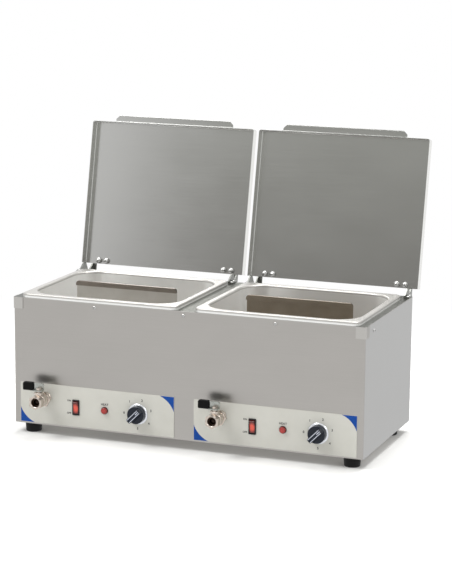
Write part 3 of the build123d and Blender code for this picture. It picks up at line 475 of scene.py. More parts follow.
def lettering(name, text, size, centre, like, material):
    """Flat generic lettering on a front panel, centred on a point and facing the front."""
    curve = bpy.data.curves.new(name, "FONT")
    curve.body = text
    curve.size = size
    curve.extrude = 0.04 * MM
    curve.offset = 0.03 * size
    curve.space_character = 1.1
    curve.align_x = "CENTER"
    curve.align_y = "CENTER"
    mesh = taken_mesh(in_scene(name + "_writer", curve))
    mesh.transform(upright(centre))
    link_piece(name, mesh, like, material)


def cut_from(mesh, cutter):
    """The first mesh with the second one taken out of it."""
    body = in_scene("cut_body", mesh)
    tool = in_scene("cut_tool", cutter)
    carve = body.modifiers.new("carve", "BOOLEAN")
    carve.operation = "DIFFERENCE"
    carve.solver = "EXACT"
    carve.object = tool
    result = taken_mesh(body)
    bpy.data.objects.remove(tool)
    return result


# Settings that a user would change

def hex_property(name, default):
    """Property for an sRGB hex colour."""
    return StringProperty(name=name, description=f"{name}: sRGB hex colour", default=default)


def length_property(name, use, default):
    """Property for a length, in metres."""
    return FloatProperty(name=name, description=use, default=default, unit="LENGTH")


def angle_property(name, use, default):
    """Property for an angle, in radians."""
    return FloatProperty(name=name, description=use, default=default, subtype="ANGLE")


class WarmerSheet(bpy.types.PropertyGroup):
    """Sheet metal of the casing, the lids and the tanks."""
    casing_dark: hex_property("Casing, dark", "#a8a5a1")
    casing_light: hex_property("Casing, light", "#b8b5b1")
    deck_dark: hex_property("Deck, dark", "#b4b2ae")
    deck_light: hex_property("Deck, light", "#c6c4c0")
    lid_dark: hex_property("Lid, dark", "#bcbcba")
    lid_light: hex_property("Lid, light", "#cacac8")
    # The tanks' colours below the rim: painted near white, as painted light that stands in for light
    # bouncing inside
    tank_dark: hex_property("Tank, dark", "#efefed")
    tank_light: hex_property("Tank, light", "#f8f8f6")
    # The right rack's colours: a painted reflection of the shaded tank wall in front of it
    rack_dark: hex_property("Right rack, dark", "#857b6e")
    rack_light: hex_property("Right rack, light", "#9f9587")
    grain: length_property(
        "Grain spacing", "Between scratches, coarser than the real 0.1 mm so that it shows", 0.9 * MM
    )
    edge: length_property("Edge rounding", "Rounding of cut sheet edges", 0.3 * MM)


class WarmerControls(bpy.types.PropertyGroup):
    """Printed panels, switches, lamps and dials."""
    film_dark: hex_property("Panel film, dark", "#b9b8b0")
    film_light: hex_property("Panel film, light", "#c4c3bc")
    blue: hex_property("Printed corners", "#014090")
    ink: hex_property("Marks and numbers", "#2b2d30")
    rocker: hex_property("Rocker", "#cf4a36")
    lamp: hex_property("Lamp lens", "#b02a23")
    knob: hex_property("Knob", "#141b28")
    corner_size: length_property("Corner size", "Legs of the printed corners", 28 * MM)
    corner_waist: FloatProperty(
        name="Corner waist", description="Where a corner's curve is nearest to it, as a share of its legs",
        default=0.39, min=0.3, max=0.49,
    )
    scale_radius: length_property("Scale radius", "Radius of the dial's numbers", 27 * MM)
    number_size: length_property("Number size", "Height of the dial's numbers", 6 * MM)
    scale_marks: IntProperty(name="Scale marks", description="Numbers round a dial", default=6, min=2)


class WarmerTaps(bpy.types.PropertyGroup):
    """Drain taps, screws and feet."""
    nickel_dark: hex_property("Nickel, dark", "#b3a79d")
    nickel_light: hex_property("Nickel, light", "#dcd2c8")
    vinyl: hex_property("Lever sleeve", "#080807")
    rubber: hex_property("Feet", "#0e0e0e")
    threads: IntProperty(name="Threads", description="Turns of thread behind a tap", default=6, min=1)
    screw_slot: length_property("Screw slot", "Width of a screw's cross recess", 0.9 * MM)


class WarmerStage(bpy.types.PropertyGroup):
    """Camera, lamps and floor."""
    camera_x: length_property("Camera X", "Camera place", 1.36426)
    camera_back: length_property("Camera distance", "In front of the casing's front wall", 3.38523)
    camera_rise: length_property("Camera rise", "Above the casing's deck", 0.77192)
    yaw: angle_property("Yaw", "Turn to the left", 0.363)
    pitch: angle_property("Pitch", "Tilt downward", 0.199)
    roll: angle_property("Roll", "Turn about the view line", 0.009)
    lens: FloatProperty(name="Focal length", description="Millimetres, on a 36 mm sensor", default=129.38)
    floor: hex_property("Floor", "#f4f4f2")
    flag_place: FloatVectorProperty(
        name="Flag", description="Centre of the grey flag that the lids mirror", default=(-0.1, -2.6, 1.2),
        subtype="TRANSLATION",
    )
    flag_width: length_property("Flag width", "Along X", 3.2)
    flag_height: length_property("Flag height", "Along Z", 2.0)
    flag_white_to: length_property("Flag white to", "X up to which the flag is white", -1.62)
    flag_grey_from: length_property("Flag grey from", "X from which the flag is grey", -1.3)
    flag_low: hex_property("Flag, low", "#93918e")
    flag_high: hex_property("Flag, high", "#bfc0bb")
    shadow_near: length_property("Shadow start", "Radius from where the floor's shadow fades", 0.45)
    shadow_far: length_property("Shadow end", "Radius where the floor is plain white", 1.3)


class SausageWarmer(bpy.types.PropertyGroup):
    """All settings of the sausage warmer."""
    sheet: PointerProperty(type=WarmerSheet)
    controls: PointerProperty(type=WarmerControls)
    taps: PointerProperty(type=WarmerTaps)
    stage: PointerProperty(type=WarmerStage)


def settings():
    """The scene's settings group."""
    return bpy.context.scene.sausage_warmer


# Casing, tanks and lids

def casing_steel():
    """304 stainless, belt-ground: a satin grey with a grain along the casing's length. The faces that look
    sideways have colours of their own, which are painted shade.
    """
    sheet = settings().sheet
    name = "brushed stainless 304, casing"
    return brushed_stainless(name, sheet.casing_dark, sheet.casing_light, 0.3, "X", "#a6a6a5", "#b6b6b5")


def deck_steel():
    """304 stainless, belt-ground: the deck and its caps, paler than the walls, with painted shade on the
    faces that look up and down.
    """
    sheet = settings().sheet
    name = "brushed stainless 304, deck"
    return brushed_stainless(name, sheet.deck_dark, sheet.deck_light, 0.3, "Z", "#8d8e8a", "#9fa09b", 0.6)


def lid_steel():
    """304 stainless, belt-ground: the lids, glossier than the casing, with a painted highlight on the faces
    that look sideways, such as the skirts.
    """
    sheet = settings().sheet
    name = "brushed stainless 304, lids"
    return brushed_stainless(name, sheet.lid_dark, sheet.lid_light, 0.18, "X", "#dededb", "#eeeeeb")


def tank_steel():
    """Drawn stainless: the press leaves it satin and slightly wavy, and water leaves a film of lime. Below
    its rim its colours are painted near white, as painted light that stands in for light bouncing inside
    the tank.
    """
    sheet = settings().sheet
    rim = (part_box("tank_left")[1].z - 4 * MM, "#aeaca8", "#bdbbb7")
    return plated_metal(
        "drawn stainless, tanks", sheet.tank_dark, sheet.tank_light, 0.32, 40 * MM, rim, bare=0.62
    )


def drain_shadow():
    """Painted shade for the drain's opening, laid as a thin disc on the tank floor: nearly black."""
    return moulded("shadow in the drain, wet steel", "#1a1916", "#262420", 0.3)


def rack_steel(side):
    """Stainless sheet, duller than the tanks. The right rack's brown-grey colours are a painted reflection
    of the shaded tank wall in front of it.

    The left rack is paler, with a painted reflection as a dark band under its upper edge."""
    sheet = settings().sheet
    name = f"stainless with painted reflection, {side} rack"
    if side == "right":
        return plated_metal(name, sheet.rack_dark, sheet.rack_light, 0.34, 25 * MM)
    # Dark band under the left rack's upper edge: painted reflection
    reflection_band = (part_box(f"rack_{side}")[1].z - 9 * MM, "#7d756d", "#958d85")
    return plated_metal(name, "#bdb9b3", "#d0cdc8", 0.34, 25 * MM, reflection_band)


class WARMER_OT_casing(bpy.types.Operator):
    """Casing sheets, deck and rear panel in brushed stainless"""
    bl_idname = "warmer.casing"
    bl_label = "Casing"

    def execute(self, context):
        edge = settings().sheet.edge / MM
        walls = casing_steel()
        for node in ("casing_wrap", "rear_panel", "base_plate"):
            softened(node, edge, walls)
        softened("top_deck", edge, deck_steel())
        return {"FINISHED"}


TANK_SHEET = 1 * MM


def tank_rings(rim_z, floor_z):
    """Rings of a drawn tank as (inset from the rim's edge, z, corner radius), inside and underside."""
    flange = 12 * MM
    rim_bend = 2 * MM
    wall_bend = 3.5 * MM
    floor_round = 12 * MM
    rim_corner = 13 * MM
    wall_corner = 46 * MM
    paths = []
    for skin in (0, TANK_SHEET):
        rim = arc(rim_bend, rim_z - rim_bend, rim_bend - skin, 180, 90)
        wall = arc(flange - wall_bend, rim_z - wall_bend, wall_bend - skin, 90, 0)
        wall += arc(flange + floor_round, floor_z + floor_round, floor_round + skin, 180, 270)
        path = [(inset, z, rim_corner - skin) for inset, z in [(skin, deck_z)] + rim]
        path += [(inset, z, wall_corner + flange - inset) for inset, z in wall]
        paths.append(path)
    return paths


def drawn_tank(node, floor_z):
    """Mesh of a drawn tank with its rolled rim."""
    low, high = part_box(node)
    centre = middle(low, high)
    half = (high - low) / 2
    place = Matrix.Translation((centre.x, centre.y, 0))
    bm = bmesh.new()
    lips = []
    for path in tank_rings(high.z, floor_z):
        rings = [
            ring(bm, round_rect(half.x - inset, half.y - inset, corner), z, place)
            for inset, z, corner in path
        ]
        bridge(bm, rings)
        bm.faces.new(rings[-1])
        lips.append(rings[0])
    bridge(bm, lips)
    return finish_mesh(node, bm)


class WARMER_OT_tanks(bpy.types.Operator):
    """Drawn tanks with a rolled rim, the drains in their floors and the racks in them"""
    bl_idname = "warmer.tanks"
    bl_label = "Tanks and racks"

    def execute(self, context):
        steel = tank_steel()
        dark = drain_shadow()
        outlet_r = 9 * MM
        lip = [(6, 0.05), (6, 0.6), (6.8, 0.9), (10.4, 0.7), (11, 0.05)]
        hole = [(0, 0.05), (6, 0.05), (6, 0.2), (0, 0.2)]
        for side in SIDES:
            node = f"tank_{side}"
            floor_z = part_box(node)[0].z + TANK_SHEET
            piece = link_piece(f"{node}_drawn", drawn_tank(node, floor_z), node, steel)
            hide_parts(node)
            low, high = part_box(f"drain_pipe_{side}")
            drain = Vector((middle(low, high).x, high.y - outlet_r, floor_z))
            link_piece(f"{node}_drain_ring", turned("drain_ring", lip, drain, UP), node, bright_steel())
            # A thin, nearly black disc over the drain: painted shade where the drain goes down
            link_piece(f"{node}_drain_hole", turned("drain_hole", hole, drain, UP), node, dark)
            softened(f"rack_{side}", 0.3, rack_steel(side))
        return {"FINISHED"}


class WARMER_OT_lids(bpy.types.Operator):
    """Lids with their handle strips"""
    bl_idname = "warmer.lids"
    bl_label = "Lids"

    def execute(self, context):
        steel = lid_steel()
        for side in SIDES:
            softened(f"lid_{side}", 0.25, steel)
            softened(f"lid_handle_{side}", 0.3, steel)
        return {"FINISHED"}


# Hinges

def strip_steel():
    """Bent stainless strip, left as it is rolled: a dull mid grey."""
    return plated_metal("rolled stainless strip, hinges", "#6f706c", "#8f908c", 0.3, 12 * MM)


def bright_steel():
    """Tumbled stainless fasteners: bright and smooth."""
    return plated_metal("tumbled stainless, fasteners", "#a8a8a6", "#d2d2d0", 0.2, 3 * MM)


class WARMER_OT_hinges(bpy.types.Operator):
    """Hinge brackets, arms, pins, bolts and dome nuts"""
    bl_idname = "warmer.hinges"
    bl_label = "Hinges"

    def execute(self, context):
        strip = strip_steel()
        bright = bright_steel()
        lid_skin = 24 * MM
        nut = [(0, 0), (4.6, 0), (5, 0.4), (5, 4.4), (4.5, 5)]
        nut += arc(0, 4.6, 4.4, 0, 90, 8)[:-1] + [(0, 9)]
        softened("hinge_brackets", 0.4, strip)
        softened("hinge_pins", 0.3, bright)
        for side in SIDES:
            softened(f"hinge_arms_{side}", 0.4, strip)
            softened(f"hinge_bolts_{side}", 0.4, bright)
            nuts = f"hinge_nuts_{side}"
            pin = joint_point(f"lid_{side}_hinge")
            turn = radians(joint(f"lid_{side}_hinge")["range_deg"][1])
            along = Vector((0, cos(turn), -sin(turn)))
            out = Vector((0, sin(turn), cos(turn)))
            bm = bmesh.new()
            for low, high in solid_boxes(nuts):
                arm = middle(low, high) - pin
                seat = pin + Vector((arm.x, 0, 0)) + along * arm.dot(along) + out * lid_skin
                revolve(bm, nut, seat, -out, sides=6, round_below=4.7)
            piece = link_piece(f"{nuts}_domed", finish_mesh("dome_nuts", bm), nuts, bright)
            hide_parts(f"hinge_nuts_{side}")
        return {"FINISHED"}


# Control panels

def panel_film():
    """Screen-printed polycarbonate film: an even, satin pale grey with a very fine skin."""
    controls = settings().controls
    name = "printed polycarbonate film, panels"
    return moulded(name, controls.film_dark, controls.film_light, 0.45, 0.6 * MM, 0.06)


def screen_ink(use, colour, rough):
    """Screen ink on the film: flat, and duller than the film itself."""
    return moulded(f"screen ink, {use}", colour, colour, rough, 0.6 * MM, 0.05, shine=0.2)


def corner_outline(start, sign, size, waist):
    """Outline of a printed corner: two legs from its corner point, and a hollow curve between them."""
    centre = size * (1 - 2 * waist ** 2) / (2 - 4 * waist)
    radius = sqrt((centre - size) ** 2 + centre ** 2)
    lean = degrees(atan2(centre - size, centre))
    points = [(0, 0)] + arc(centre, centre, radius, 270 - lean, 180 + lean, 12)
    return [(start.x + sign * x, start.z + sign * z) for x, z in points]


class WARMER_OT_panels(bpy.types.Operator):
    """Printed control panels: film, blue corners, switch and lamp words, numbers round the dials"""
    bl_idname = "warmer.panels"
    bl_label = "Control panels"

    def execute(self, context):
        controls = settings().controls
        film = panel_film()
        blue = screen_ink("blue corners", controls.blue, 0.4)
        ink = screen_ink("marks", controls.ink, 0.5)
        print_t = 0.05 * MM
        margin = Vector((0.4 * MM, 0, 0.4 * MM))
        on_aside, on_rise, on_size = 14 * MM, 11.75 * MM, 4.6 * MM
        heat_rise, heat_size = 11 * MM, 5.6 * MM
        scale_start, scale_sweep = 180, 270
        for side in SIDES:
            panel = f"control_panel_{side}"
            softened(panel, 0.2, film)
            low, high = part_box(panel)
            for end, start, sign in (("low", low + margin, 1), ("high", high - margin, -1)):
                outline = corner_outline(start, sign, controls.corner_size, controls.corner_waist)
                bm = bmesh.new()
                prism(bm, outline, (print_t, 0), upright((0, low.y, 0)))
                link_piece(f"panel_corner_{end}_{side}", finish_mesh("corner", bm), panel, blue)
            rocker = joint_point(f"rocker_{side}_tilt")
            lamp = middle(*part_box(f"lamp_lens_{side}"))
            dial = joint_point(f"dial_{side}_turn")
            marks = [
                ("on", "ON", on_size, rocker.x - on_aside, rocker.z + on_rise),
                ("off", "OFF", on_size, rocker.x - on_aside, rocker.z - on_rise),
                ("heat", "HEAT", heat_size, lamp.x, lamp.z + heat_rise),
            ]
            for number in range(controls.scale_marks):
                turn = radians(scale_start - scale_sweep * number / (controls.scale_marks - 1))
                x = dial.x + cos(turn) * controls.scale_radius
                z = dial.z + sin(turn) * controls.scale_radius
                marks.append((f"dial_{number}", str(number), controls.number_size, x, z))
            for name, text, size, x, z in marks:
                lettering(f"mark_{name}_{side}", text, size, Vector((x, low.y - print_t, z)), panel, ink)
        return {"FINISHED"}


# Switches, lamps and dials

def black_abs():
    """Moulded black ABS of switch frames, lamp flanges and the gland: a soft, even shine."""
    return moulded("ABS, black, satin moulded", "#0c0c0d", "#161617", 0.38, shine=0.3)


def rocker_plastic(side, centre):
    """Red polycarbonate: its middle is painted orange with a faint glow, as painted light, and its ends are
    painted dark, as painted shade.
    """
    colour = settings().controls.rocker
    painted_glow_drop = 1.2 * MM
    return tinted_plastic(
        f"polycarbonate, red, rocker {side}", "#4f0d08", colour, 0.16, 0.1, 0.12,
        centre - painted_glow_drop * UP, (7.5 * MM, 30 * MM, 11 * MM),
    )


def lens_acrylic(side, centre):
    """Red acrylic dome: glossy, with its middle painted a little paler and a faint painted glow that stand
    in for its highlight.
    """
    colour = settings().controls.lamp
    return tinted_plastic(
        f"acrylic, red, lamp lens {side}", "#7d1a16", colour, 0.12, 0.2, 0.2,
        centre, (8 * MM, 30 * MM, 8 * MM),
    )


def knob_phenolic():
    """Moulded phenolic: nearly black, with a cool tint and a soft shine."""
    colour = settings().controls.knob
    return moulded("phenolic, dark, knobs", colour, colour, 0.3, 0.3 * MM, 0.05, shine=0.3)


def spun_aluminium():
    """Spun aluminium: a bright, cool mirror, slightly blurred."""
    return plated_metal("spun aluminium, knob skirts", "#c9ccd2", "#eceef2", 0.22, 3 * MM)


def stamped_foil():
    """Pale flat lines: hot-stamped foil for the pointer, and painted highlights along the wing's edges."""
    return moulded("foil pointer and painted edge highlights, knobs", "#b4b9c6", "#c9cdd8", 0.35, 0.4 * MM, 0.05)


class WARMER_OT_switches(bpy.types.Operator):
    """Rocker switches and pilot lamps"""
    bl_idname = "warmer.switches"
    bl_label = "Switches and lamps"

    def execute(self, context):
        black = black_abs()
        dome = [(0, 0), (6.1, 0)] + arc(3.9, 1.8, 2.2, 0, 70, 8)
        dome += [(3.2, 3.9), (3, 3.7), (2.2, 3.75), (2, 4), (0, 4)]
        for side in SIDES:
            red = rocker_plastic(side, middle(*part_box(f"switch_rocker_{side}")))
            softened(f"switch_housing_{side}", 0.4, black)
            softened(f"switch_rocker_{side}", 0.5, red, 3)
            low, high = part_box(f"lamp_body_{side}")
            centre = middle(low, high)
            softened(f"lamp_body_{side}", 0.3, black)
            lens = turned("lens", dome, Vector((centre.x, low.y, centre.z)), FRONT)
            clear = lens_acrylic(side, centre)
            piece = link_piece(f"lamp_lens_{side}_domed", lens, f"lamp_lens_{side}", clear)
            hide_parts(f"lamp_lens_{side}")
        return {"FINISHED"}


def knob_mesh(seat, wing_place):
    """Mesh of a knob: a disc with a rounded edge, and a wing across it that narrows outward."""
    disc = [(0, 3.6), (15.4, 3.6), (15.7, 4), (16, 12.2)] + arc(14.8, 12.4, 1.2, 0, 90)
    disc += [(13.4, 13.4), (0, 13.2)]
    half_l, half_w, corner, corner_share = 15.5, 5, 2.6, 0.7
    low, shoulder, taper, edge = 12.6, 22.6, 0.3, 1
    levels = [(0, low), (taper, shoulder)]
    levels += [(taper + edge - across, shoulder + up) for across, up in arc(0, 0, edge, 0, 90, 5)[1:]]
    bm = bmesh.new()
    revolve(bm, disc, seat, FRONT, 72)
    rings = []
    for inset, out in levels:
        outline = round_rect(half_l - inset, half_w - inset, corner - inset * corner_share, 6)
        rings.append(ring(bm, outline, out, wing_place))
    loft(bm, rings)
    return finish_mesh("knob", bm)


def knob_lines(wing_place):
    """Mesh of the lines on a knob's wing: one along each edge, which are painted highlights, and a short
    foil one at the pointing end.
    """
    levels = (23.5, 23.7)
    start, end, aside, half = -13.6, 14, 3.1, 0.55
    short_start, short_half = 6, 0.7
    bars = [(start, end, y - half, y + half) for y in (-aside, aside)]
    bars.append((short_start, end, -short_half, short_half))
    bm = bmesh.new()
    for x0, x1, y0, y1 in bars:
        prism(bm, ((x0, y0), (x1, y0), (x1, y1), (x0, y1)), levels, wing_place)
    return finish_mesh("lines", bm)


class WARMER_OT_dials(bpy.types.Operator):
    """Thermostat knobs with their bright skirts and pale lines"""
    bl_idname = "warmer.dials"
    bl_label = "Dials"

    def execute(self, context):
        phenolic = knob_phenolic()
        bright = spun_aluminium()
        foil_and_highlight = stamped_foil()
        skirt = [(3, 1.6), (19.3, 1.6), (19.5, 1.9), (18.4, 3.2), (17.6, 3.6), (16.4, 3.75), (3, 3.75)]
        for side in SIDES:
            knob = f"knob_{side}"
            dial = joint_point(f"dial_{side}_turn")
            seat = Vector((dial.x, face_y, dial.z))
            spun = turned("skirt", skirt, seat, FRONT, 72)
            piece = link_piece(f"knob_skirt_{side}_spun", spun, f"knob_skirt_{side}", bright)
            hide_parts(f"knob_skirt_{side}")
            wing_place = upright(seat) @ Matrix.Rotation(pi / 4, 4, "Z") @ Matrix.Scale(MM, 4)
            piece = link_piece(f"{knob}_moulded", knob_mesh(seat, wing_place), knob, phenolic)
            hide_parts(knob)
            # The edge lines are painted highlights; the short line is the foil pointer
            link_piece(f"{knob}_lines", knob_lines(wing_place), knob, foil_and_highlight)
            refinish(f"thermostat_shaft_{side}", bright_steel())
        return {"FINISHED"}


# Taps

def tap_nickel():
    """Nickel-plated brass: a warm mirror, a little blurred."""
    taps = settings().taps
    return plated_metal("nickel-plated brass, taps", taps.nickel_dark, taps.nickel_light, 0.22, 8 * MM)


def sleeve_vinyl():
    """Vinyl that the lever was dipped in: black, with hardly any shine."""
    colour = settings().taps.vinyl
    return moulded("dipped vinyl, black, lever sleeves", colour, colour, 0.42, shine=0.12)


def lever_zinc():
    """Zinc-plated steel strip: pale grey with a faint green."""
    return plated_metal("zinc-plated strip, levers", "#8f918c", "#bfc2bd", 0.28, 6 * MM)


def ball_chrome():
    """Hard chrome on the ball, dark because hardly any light gets in to it."""
    return plated_metal("hard chrome, tap balls in shadow", "#2a211d", "#3b302a", 0.3, 8 * MM)


def bored_brass():
    """Painted shade inside the tap's outlet: a dark brown lining in the bore."""
    return plated_metal("painted shade, tap bores", "#4a3a31", "#5c4a3f", 0.35, 5 * MM)


def tap_body(seat, stem):
    """Mesh of a tap's body: threaded shank, hexagon collar, barrel, hexagon mouth and the stem's boss."""
    pitch, crest_share, thread_start, root_r, crest_r = 1.8, 0.4, 1.4, 8.3, 9
    thread = [(root_r, thread_start)]
    for turn in range(settings().taps.threads):
        thread.append((crest_r, thread_start + pitch * (turn + crest_share)))
        thread.append((root_r, thread_start + pitch * (turn + 1)))
    shank = [(6, -16), (8.6, -16), (9, -15.6), (9, 1)] + thread + [(9, 13.2), (6, 13.2)]
    collar = [(8, 13), (12.6, 13), (13.5, 13.9), (13.5, 19.1), (12.6, 20), (12, 20.2), (8, 20.2)]
    barrel = [(11, 20), (12.1, 20.4), (12.5, 20.9), (12.5, 34.6), (12.1, 35), (12.1, 35.8), (12.5, 36.2)]
    barrel += [(12.5, 37.2), (12, 37.8), (9, 38), (9, 20)]
    mouth = [(9, 37.8), (11.2, 38), (12, 38.8), (12, 49), (11, 50), (8.9, 50), (8.3, 49.4), (8.3, 37.8)]
    boss = [(6.4, 6), (6.4, 12.2), (7, 12.9), (7, 16.3), (6.4, 17), (4.1, 17), (4.1, 6)]
    bm = bmesh.new()
    revolve(bm, shank, seat, FRONT)
    revolve(bm, collar, seat, FRONT, sides=6, round_below=12.7, spin=pi / 6)
    revolve(bm, barrel, seat, FRONT)
    revolve(bm, mouth, seat, FRONT, sides=6, round_below=11.3)
    revolve(bm, boss, stem, UP, sides=6, round_below=6.5)
    return finish_mesh("tap", bm)


class WARMER_OT_taps(bpy.types.Operator):
    """Drain taps with their levers and black sleeves"""
    bl_idname = "warmer.taps"
    bl_label = "Drain taps"

    def execute(self, context):
        nickel = tap_nickel()
        vinyl = sleeve_vinyl()
        strip = lever_zinc()
        chrome = ball_chrome()
        bore_shade = bored_brass()
        bore = [(8.3, 49.4), (8, 49), (8, 44.5), (6, 44.5), (6, 42), (6.4, 42), (6.4, 44.2), (8.3, 44.2)]
        for side in SIDES:
            body = f"tap_body_{side}"
            stem = joint_point(f"tap_{side}_turn")
            seat = Vector((stem.x, face_y, stem.z))
            piece = link_piece(f"{body}_turned", tap_body(seat, stem), body, nickel)
            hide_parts(f"tap_body_{side}")
            # A thin dark lining in the bore: painted shade where hardly any light gets in
            link_piece(f"tap_bore_{side}", turned("tap_bore", bore, seat, FRONT), body, bore_shade)
            softened(f"tap_ball_{side}", 0.2, chrome)
            softened(f"tap_stem_{side}", 0.4, nickel)
            softened(f"tap_lever_{side}", 0.3, strip)
            softened(f"tap_grip_{side}", 0.3, vinyl)
        softened("tap_nuts", 0.4, nickel)
        return {"FINISHED"}


# Feet and screws

def foot_rubber():
    """Moulded nitrile rubber: black and dull, with a coarse skin."""
    colour = settings().taps.rubber
    return moulded("nitrile rubber, feet", colour, colour, 0.6, 0.5 * MM, 0.15, shine=0.2)


def cross_screw(slot_width):
    """Pan head with a cross recess, seated at the origin with its head up, as a mesh."""
    section = [(0, -0.3), (3.2, -0.3), (3.3, 0), (3.3, 0.5), (2.9, 1.1), (2.1, 1.6), (1.1, 1.9), (0, 2)]
    head = turned("screw_head", section, Vector(), UP, 32)
    recess_floor, recess_top = 0.8 * MM, 3.4 * MM
    reach, half = 1.9 * MM, slot_width / 2
    arm = [(reach, -half), (reach, half), (half, half)]
    cross = [(x * c - y * s, x * s + y * c) for c, s in ((1, 0), (0, 1), (-1, 0), (0, -1)) for x, y in arm]
    bm = bmesh.new()
    prism(bm, cross, (recess_floor, recess_top), Matrix())
    return cut_from(head, finish_mesh("cross", bm))


def screw_seat(node, near, far):
    """Outward axis of a screw, given its box, and the point on the sheet where its head sits."""
    bracket_t = 2.5 * MM
    rear_stand = 1.5 * MM
    spot = middle(near, far)
    low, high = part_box("casing_wrap")
    if node == "bracket_screws":
        return UP, Vector((spot.x, spot.y, deck_z + bracket_t))
    if near.y < low.y:
        return FRONT, Vector((spot.x, low.y, spot.z))
    if far.y > high.y + rear_stand:
        return -FRONT, Vector((spot.x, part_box("rear_panel")[1].y, spot.z))
    if spot.x > middle(low, high).x:
        return Vector((1, 0, 0)), Vector((high.x, spot.y, spot.z))
    return Vector((-1, 0, 0)), Vector((low.x, spot.y, spot.z))


class WARMER_OT_feet(bpy.types.Operator):
    """Rubber feet and the small screws"""
    bl_idname = "warmer.feet"
    bl_label = "Feet and screws"

    def execute(self, context):
        bright = bright_steel()
        foot = [(2.5, 7), (7, 7), (7, 0.6), (7.6, 0)] + arc(12.7, 2, 2, 270, 360)
        foot += [(15.3, 12.4), (15.1, 12.8), (15.1, 13.4), (15.4, 13.8)]
        foot += [(15.8, 18.7), (15.5, 19.3), (2.5, 19.3)]
        bm = bmesh.new()
        for low, high in solid_boxes("feet"):
            centre = middle(low, high)
            revolve(bm, foot, Vector((centre.x, centre.y, 0)), UP)
        piece = link_piece("feet_moulded", finish_mesh("feet", bm), "feet", foot_rubber())
        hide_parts("feet")
        softened("foot_screws", 0.3, bright)

        screw = cross_screw(settings().taps.screw_slot)
        turn_each = 0.7
        for node in ("casing_screws", "bracket_screws"):
            bm = bmesh.new()
            for number, (near, far) in enumerate(solid_boxes(node)):
                axis, seat = screw_seat(node, near, far)
                spin = Matrix.Rotation(number * turn_each, 4, "Z")
                known = set(bm.verts)
                bm.from_mesh(screw)
                fresh = [vert for vert in bm.verts if vert not in known]
                bmesh.ops.transform(bm, matrix=seated(seat, axis) @ spin, verts=fresh)
            mesh = bpy.data.meshes.new(node)
            bm.to_mesh(mesh)
            bm.free()
            piece = link_piece(f"{node}_cross", mesh, node, bright)
            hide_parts(node)
        return {"FINISHED"}


# Inside and rear

def terminal_nylon():
    """Moulded polyamide: a milky off-white."""
    return moulded("polyamide, white, terminals", "#cfccc2", "#dedbd2", 0.5)


def heater_sheath():
    """Aluminised steel: a dull, blotchy grey."""
    return plated_metal("aluminised steel, heaters", "#8b8b88", "#a9a9a6", 0.4, 10 * MM)


class WARMER_OT_inside(bpy.types.Operator):
    """Pieces inside the casing and on its rear: heaters, pipes, thermostats, terminals and gland"""
    bl_idname = "warmer.inside"
    bl_label = "Inside and rear"

    def execute(self, context):
        black = black_abs()
        sheath = heater_sheath()
        steel = tank_steel()
        refinish("terminal_block", terminal_nylon())
        softened("cable_gland", 0.4, black)
        for side in SIDES:
            refinish(f"heater_{side}", sheath)
            refinish(f"drain_pipe_{side}", steel)
            refinish(f"thermostat_{side}", black)
        return {"FINISHED"}


# Stage

def or_mirrored(tree, value):
    """Output of 1 for glossy and transmission rays, and of the value output for the others."""
    path = add_node(tree, "ShaderNodeLightPath")
    for ray in ("Is Glossy Ray", "Is Transmission Ray"):
        links = {0: value, 1: path.outputs[ray]}
        value = add_node(tree, "ShaderNodeMath", {"operation": "MAXIMUM"}, links=links).outputs["Value"]
    return value


def floor_paint(stage):
    """White studio paint that takes the shadow near the object and fades into the white background."""
    material, tree = new_material("painted studio floor")
    paint = add_node(tree, "ShaderNodeBsdfDiffuse", inputs={"Color": linear(stage.floor)})
    white = add_node(tree, "ShaderNodeEmission", inputs={"Color": (1, 1, 1, 1), "Strength": 1.0})
    place = add_node(tree, "ShaderNodeNewGeometry").outputs["Position"]
    share = or_mirrored(tree, fading(tree, place, stage.shadow_near, stage.shadow_far))
    links = {0: share, 1: paint.outputs["BSDF"], 2: white.outputs["Emission"]}
    return shaded(material, "ShaderNodeMixShader", {}, links)


def flag_cloth(stage):
    """Grey cloth in front of the lids, seen only in their reflection: white at its left, darker below."""
    low_z, high_z = 0.7, 1.5
    white = "#ffffff"
    material, tree = new_material("grey flag cloth")
    place = add_node(tree, "ShaderNodeNewGeometry").outputs["Position"]
    across = growing(tree, place, "X", stage.flag_white_to, stage.flag_grey_from, "SMOOTHSTEP")
    upward = growing(tree, place, "Z", low_z, high_z)
    shade = worn_colour(tree, upward, ((white, white), (stage.flag_low, stage.flag_high)), across)
    return shaded(material, "ShaderNodeEmission", {"Strength": 1.0}, {"Color": shade})


def stage_sheet(name, half, place, material):
    """A flat square of the stage, from its half side, laid about the origin and then put in its place."""
    bm = bmesh.new()
    bmesh.ops.create_grid(bm, x_segments=1, y_segments=1, size=half, matrix=place)
    sheet = in_scene(name, finish_mesh(name, bm))
    sheet.data.materials.append(material)
    return sheet


def white_world():
    """World that is white to the camera and in reflections, and lights the object less strongly."""
    lit, seen = 0.6, 1.0
    world = bpy.data.worlds.new("white studio")
    world.use_nodes = True
    tree = world.node_tree
    tree.nodes.clear()
    rays = or_mirrored(tree, add_node(tree, "ShaderNodeLightPath").outputs["Is Camera Ray"])
    reach = {"To Min": lit, "To Max": seen}
    strength = add_node(tree, "ShaderNodeMapRange", inputs=reach, links={"Value": rays}).outputs["Result"]
    white = {"Color": (1, 1, 1, 1)}
    sky = add_node(tree, "ShaderNodeBackground", inputs=white, links={"Strength": strength})
    add_node(tree, "ShaderNodeOutputWorld", links={"Surface": sky.outputs["Background"]})
    return world


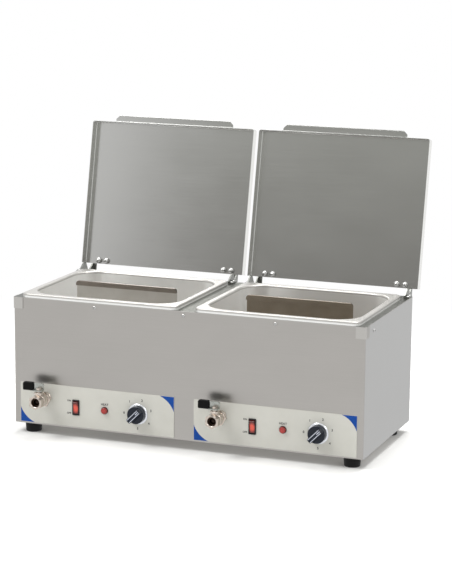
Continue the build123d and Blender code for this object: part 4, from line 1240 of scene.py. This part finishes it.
def add_lamps():
    """Three large square lamps aimed at the casing, with their power in watts."""
    aim = Vector((0, 0, 0.2))
    for name, place, size, power in (
        ("key", Vector((-1.6, -1.6, 3.0)), 1.6, 66),
        ("fill", Vector((2.6, -1.2, 2.2)), 1.4, 18),
        ("top", Vector((0.2, 0.9, 3.0)), 2.0, 100),
    ):
        lamp = bpy.data.lights.new(name, "AREA")
        lamp.size = size
        lamp.energy = power
        holder = in_scene(name, lamp)
        holder.location = place
        holder.rotation_euler = (aim - place).to_track_quat("-Z", "Y").to_euler()


def add_camera(stage):
    """The camera, at the photograph's place and angle."""
    lens = bpy.data.cameras.new("camera")
    lens.lens = stage.lens
    lens.clip_end = 100
    camera = in_scene("camera", lens)
    camera.matrix_world = (
        Matrix.Translation((stage.camera_x, face_y - stage.camera_back, deck_z + stage.camera_rise))
        @ Matrix.Rotation(stage.yaw, 4, "Z")
        @ Matrix.Rotation(pi / 2 - stage.pitch, 4, "X")
        @ Matrix.Rotation(stage.roll, 4, "Z")
    )
    return camera


class WARMER_OT_stage(bpy.types.Operator):
    """Floor, lamps, background and camera"""
    bl_idname = "warmer.stage"
    bl_label = "Stage"

    def execute(self, context):
        stage = settings().stage
        scene = context.scene
        scene.view_settings.view_transform = "Standard"
        floor = stage_sheet("floor", 30, Matrix(), floor_paint(stage))
        place = upright(stage.flag_place) @ Matrix.Diagonal((stage.flag_width, stage.flag_height, 1, 1))
        flag = stage_sheet("flag", 0.5, place, flag_cloth(stage))
        flag.visible_camera = False
        flag.visible_diffuse = False
        flag.visible_shadow = False
        scene.world = white_world()
        add_lamps()
        scene.camera = add_camera(stage)
        return {"FINISHED"}


OPERATORS = (
    WARMER_OT_casing, WARMER_OT_tanks, WARMER_OT_lids, WARMER_OT_hinges, WARMER_OT_panels,
    WARMER_OT_switches, WARMER_OT_dials, WARMER_OT_taps, WARMER_OT_feet, WARMER_OT_inside,
    WARMER_OT_stage,
)


class WARMER_PT_panel(bpy.types.Panel):
    """Lists the warmer's operators and settings"""
    bl_idname = "WARMER_PT_panel"
    bl_label = "Sausage Warmer"
    bl_space_type = "VIEW_3D"
    bl_region_type = "UI"
    bl_category = "Sausage Warmer"

    def draw(self, context):
        for operator in OPERATORS:
            self.layout.operator(operator.bl_idname)
        for group in ("sheet", "controls", "taps", "stage"):
            box = self.layout.box()
            values = getattr(settings(), group)
            for name in values.__annotations__:
                box.prop(values, name)


CLASSES = (WarmerSheet, WarmerControls, WarmerTaps, WarmerStage, SausageWarmer, *OPERATORS, WARMER_PT_panel)


def register():
    """Registers the classes and the scene's settings."""
    for item in CLASSES:
        bpy.utils.register_class(item)
    bpy.types.Scene.sausage_warmer = PointerProperty(type=SausageWarmer)


def unregister():
    """Takes them away again."""
    del bpy.types.Scene.sausage_warmer
    for item in reversed(CLASSES):
        bpy.utils.unregister_class(item)


def main():
    """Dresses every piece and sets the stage."""
    register()
    for operator in OPERATORS:
        group, name = operator.bl_idname.split(".")
        getattr(getattr(bpy.ops, group), name)()


if __name__ == "__main__":
    main()
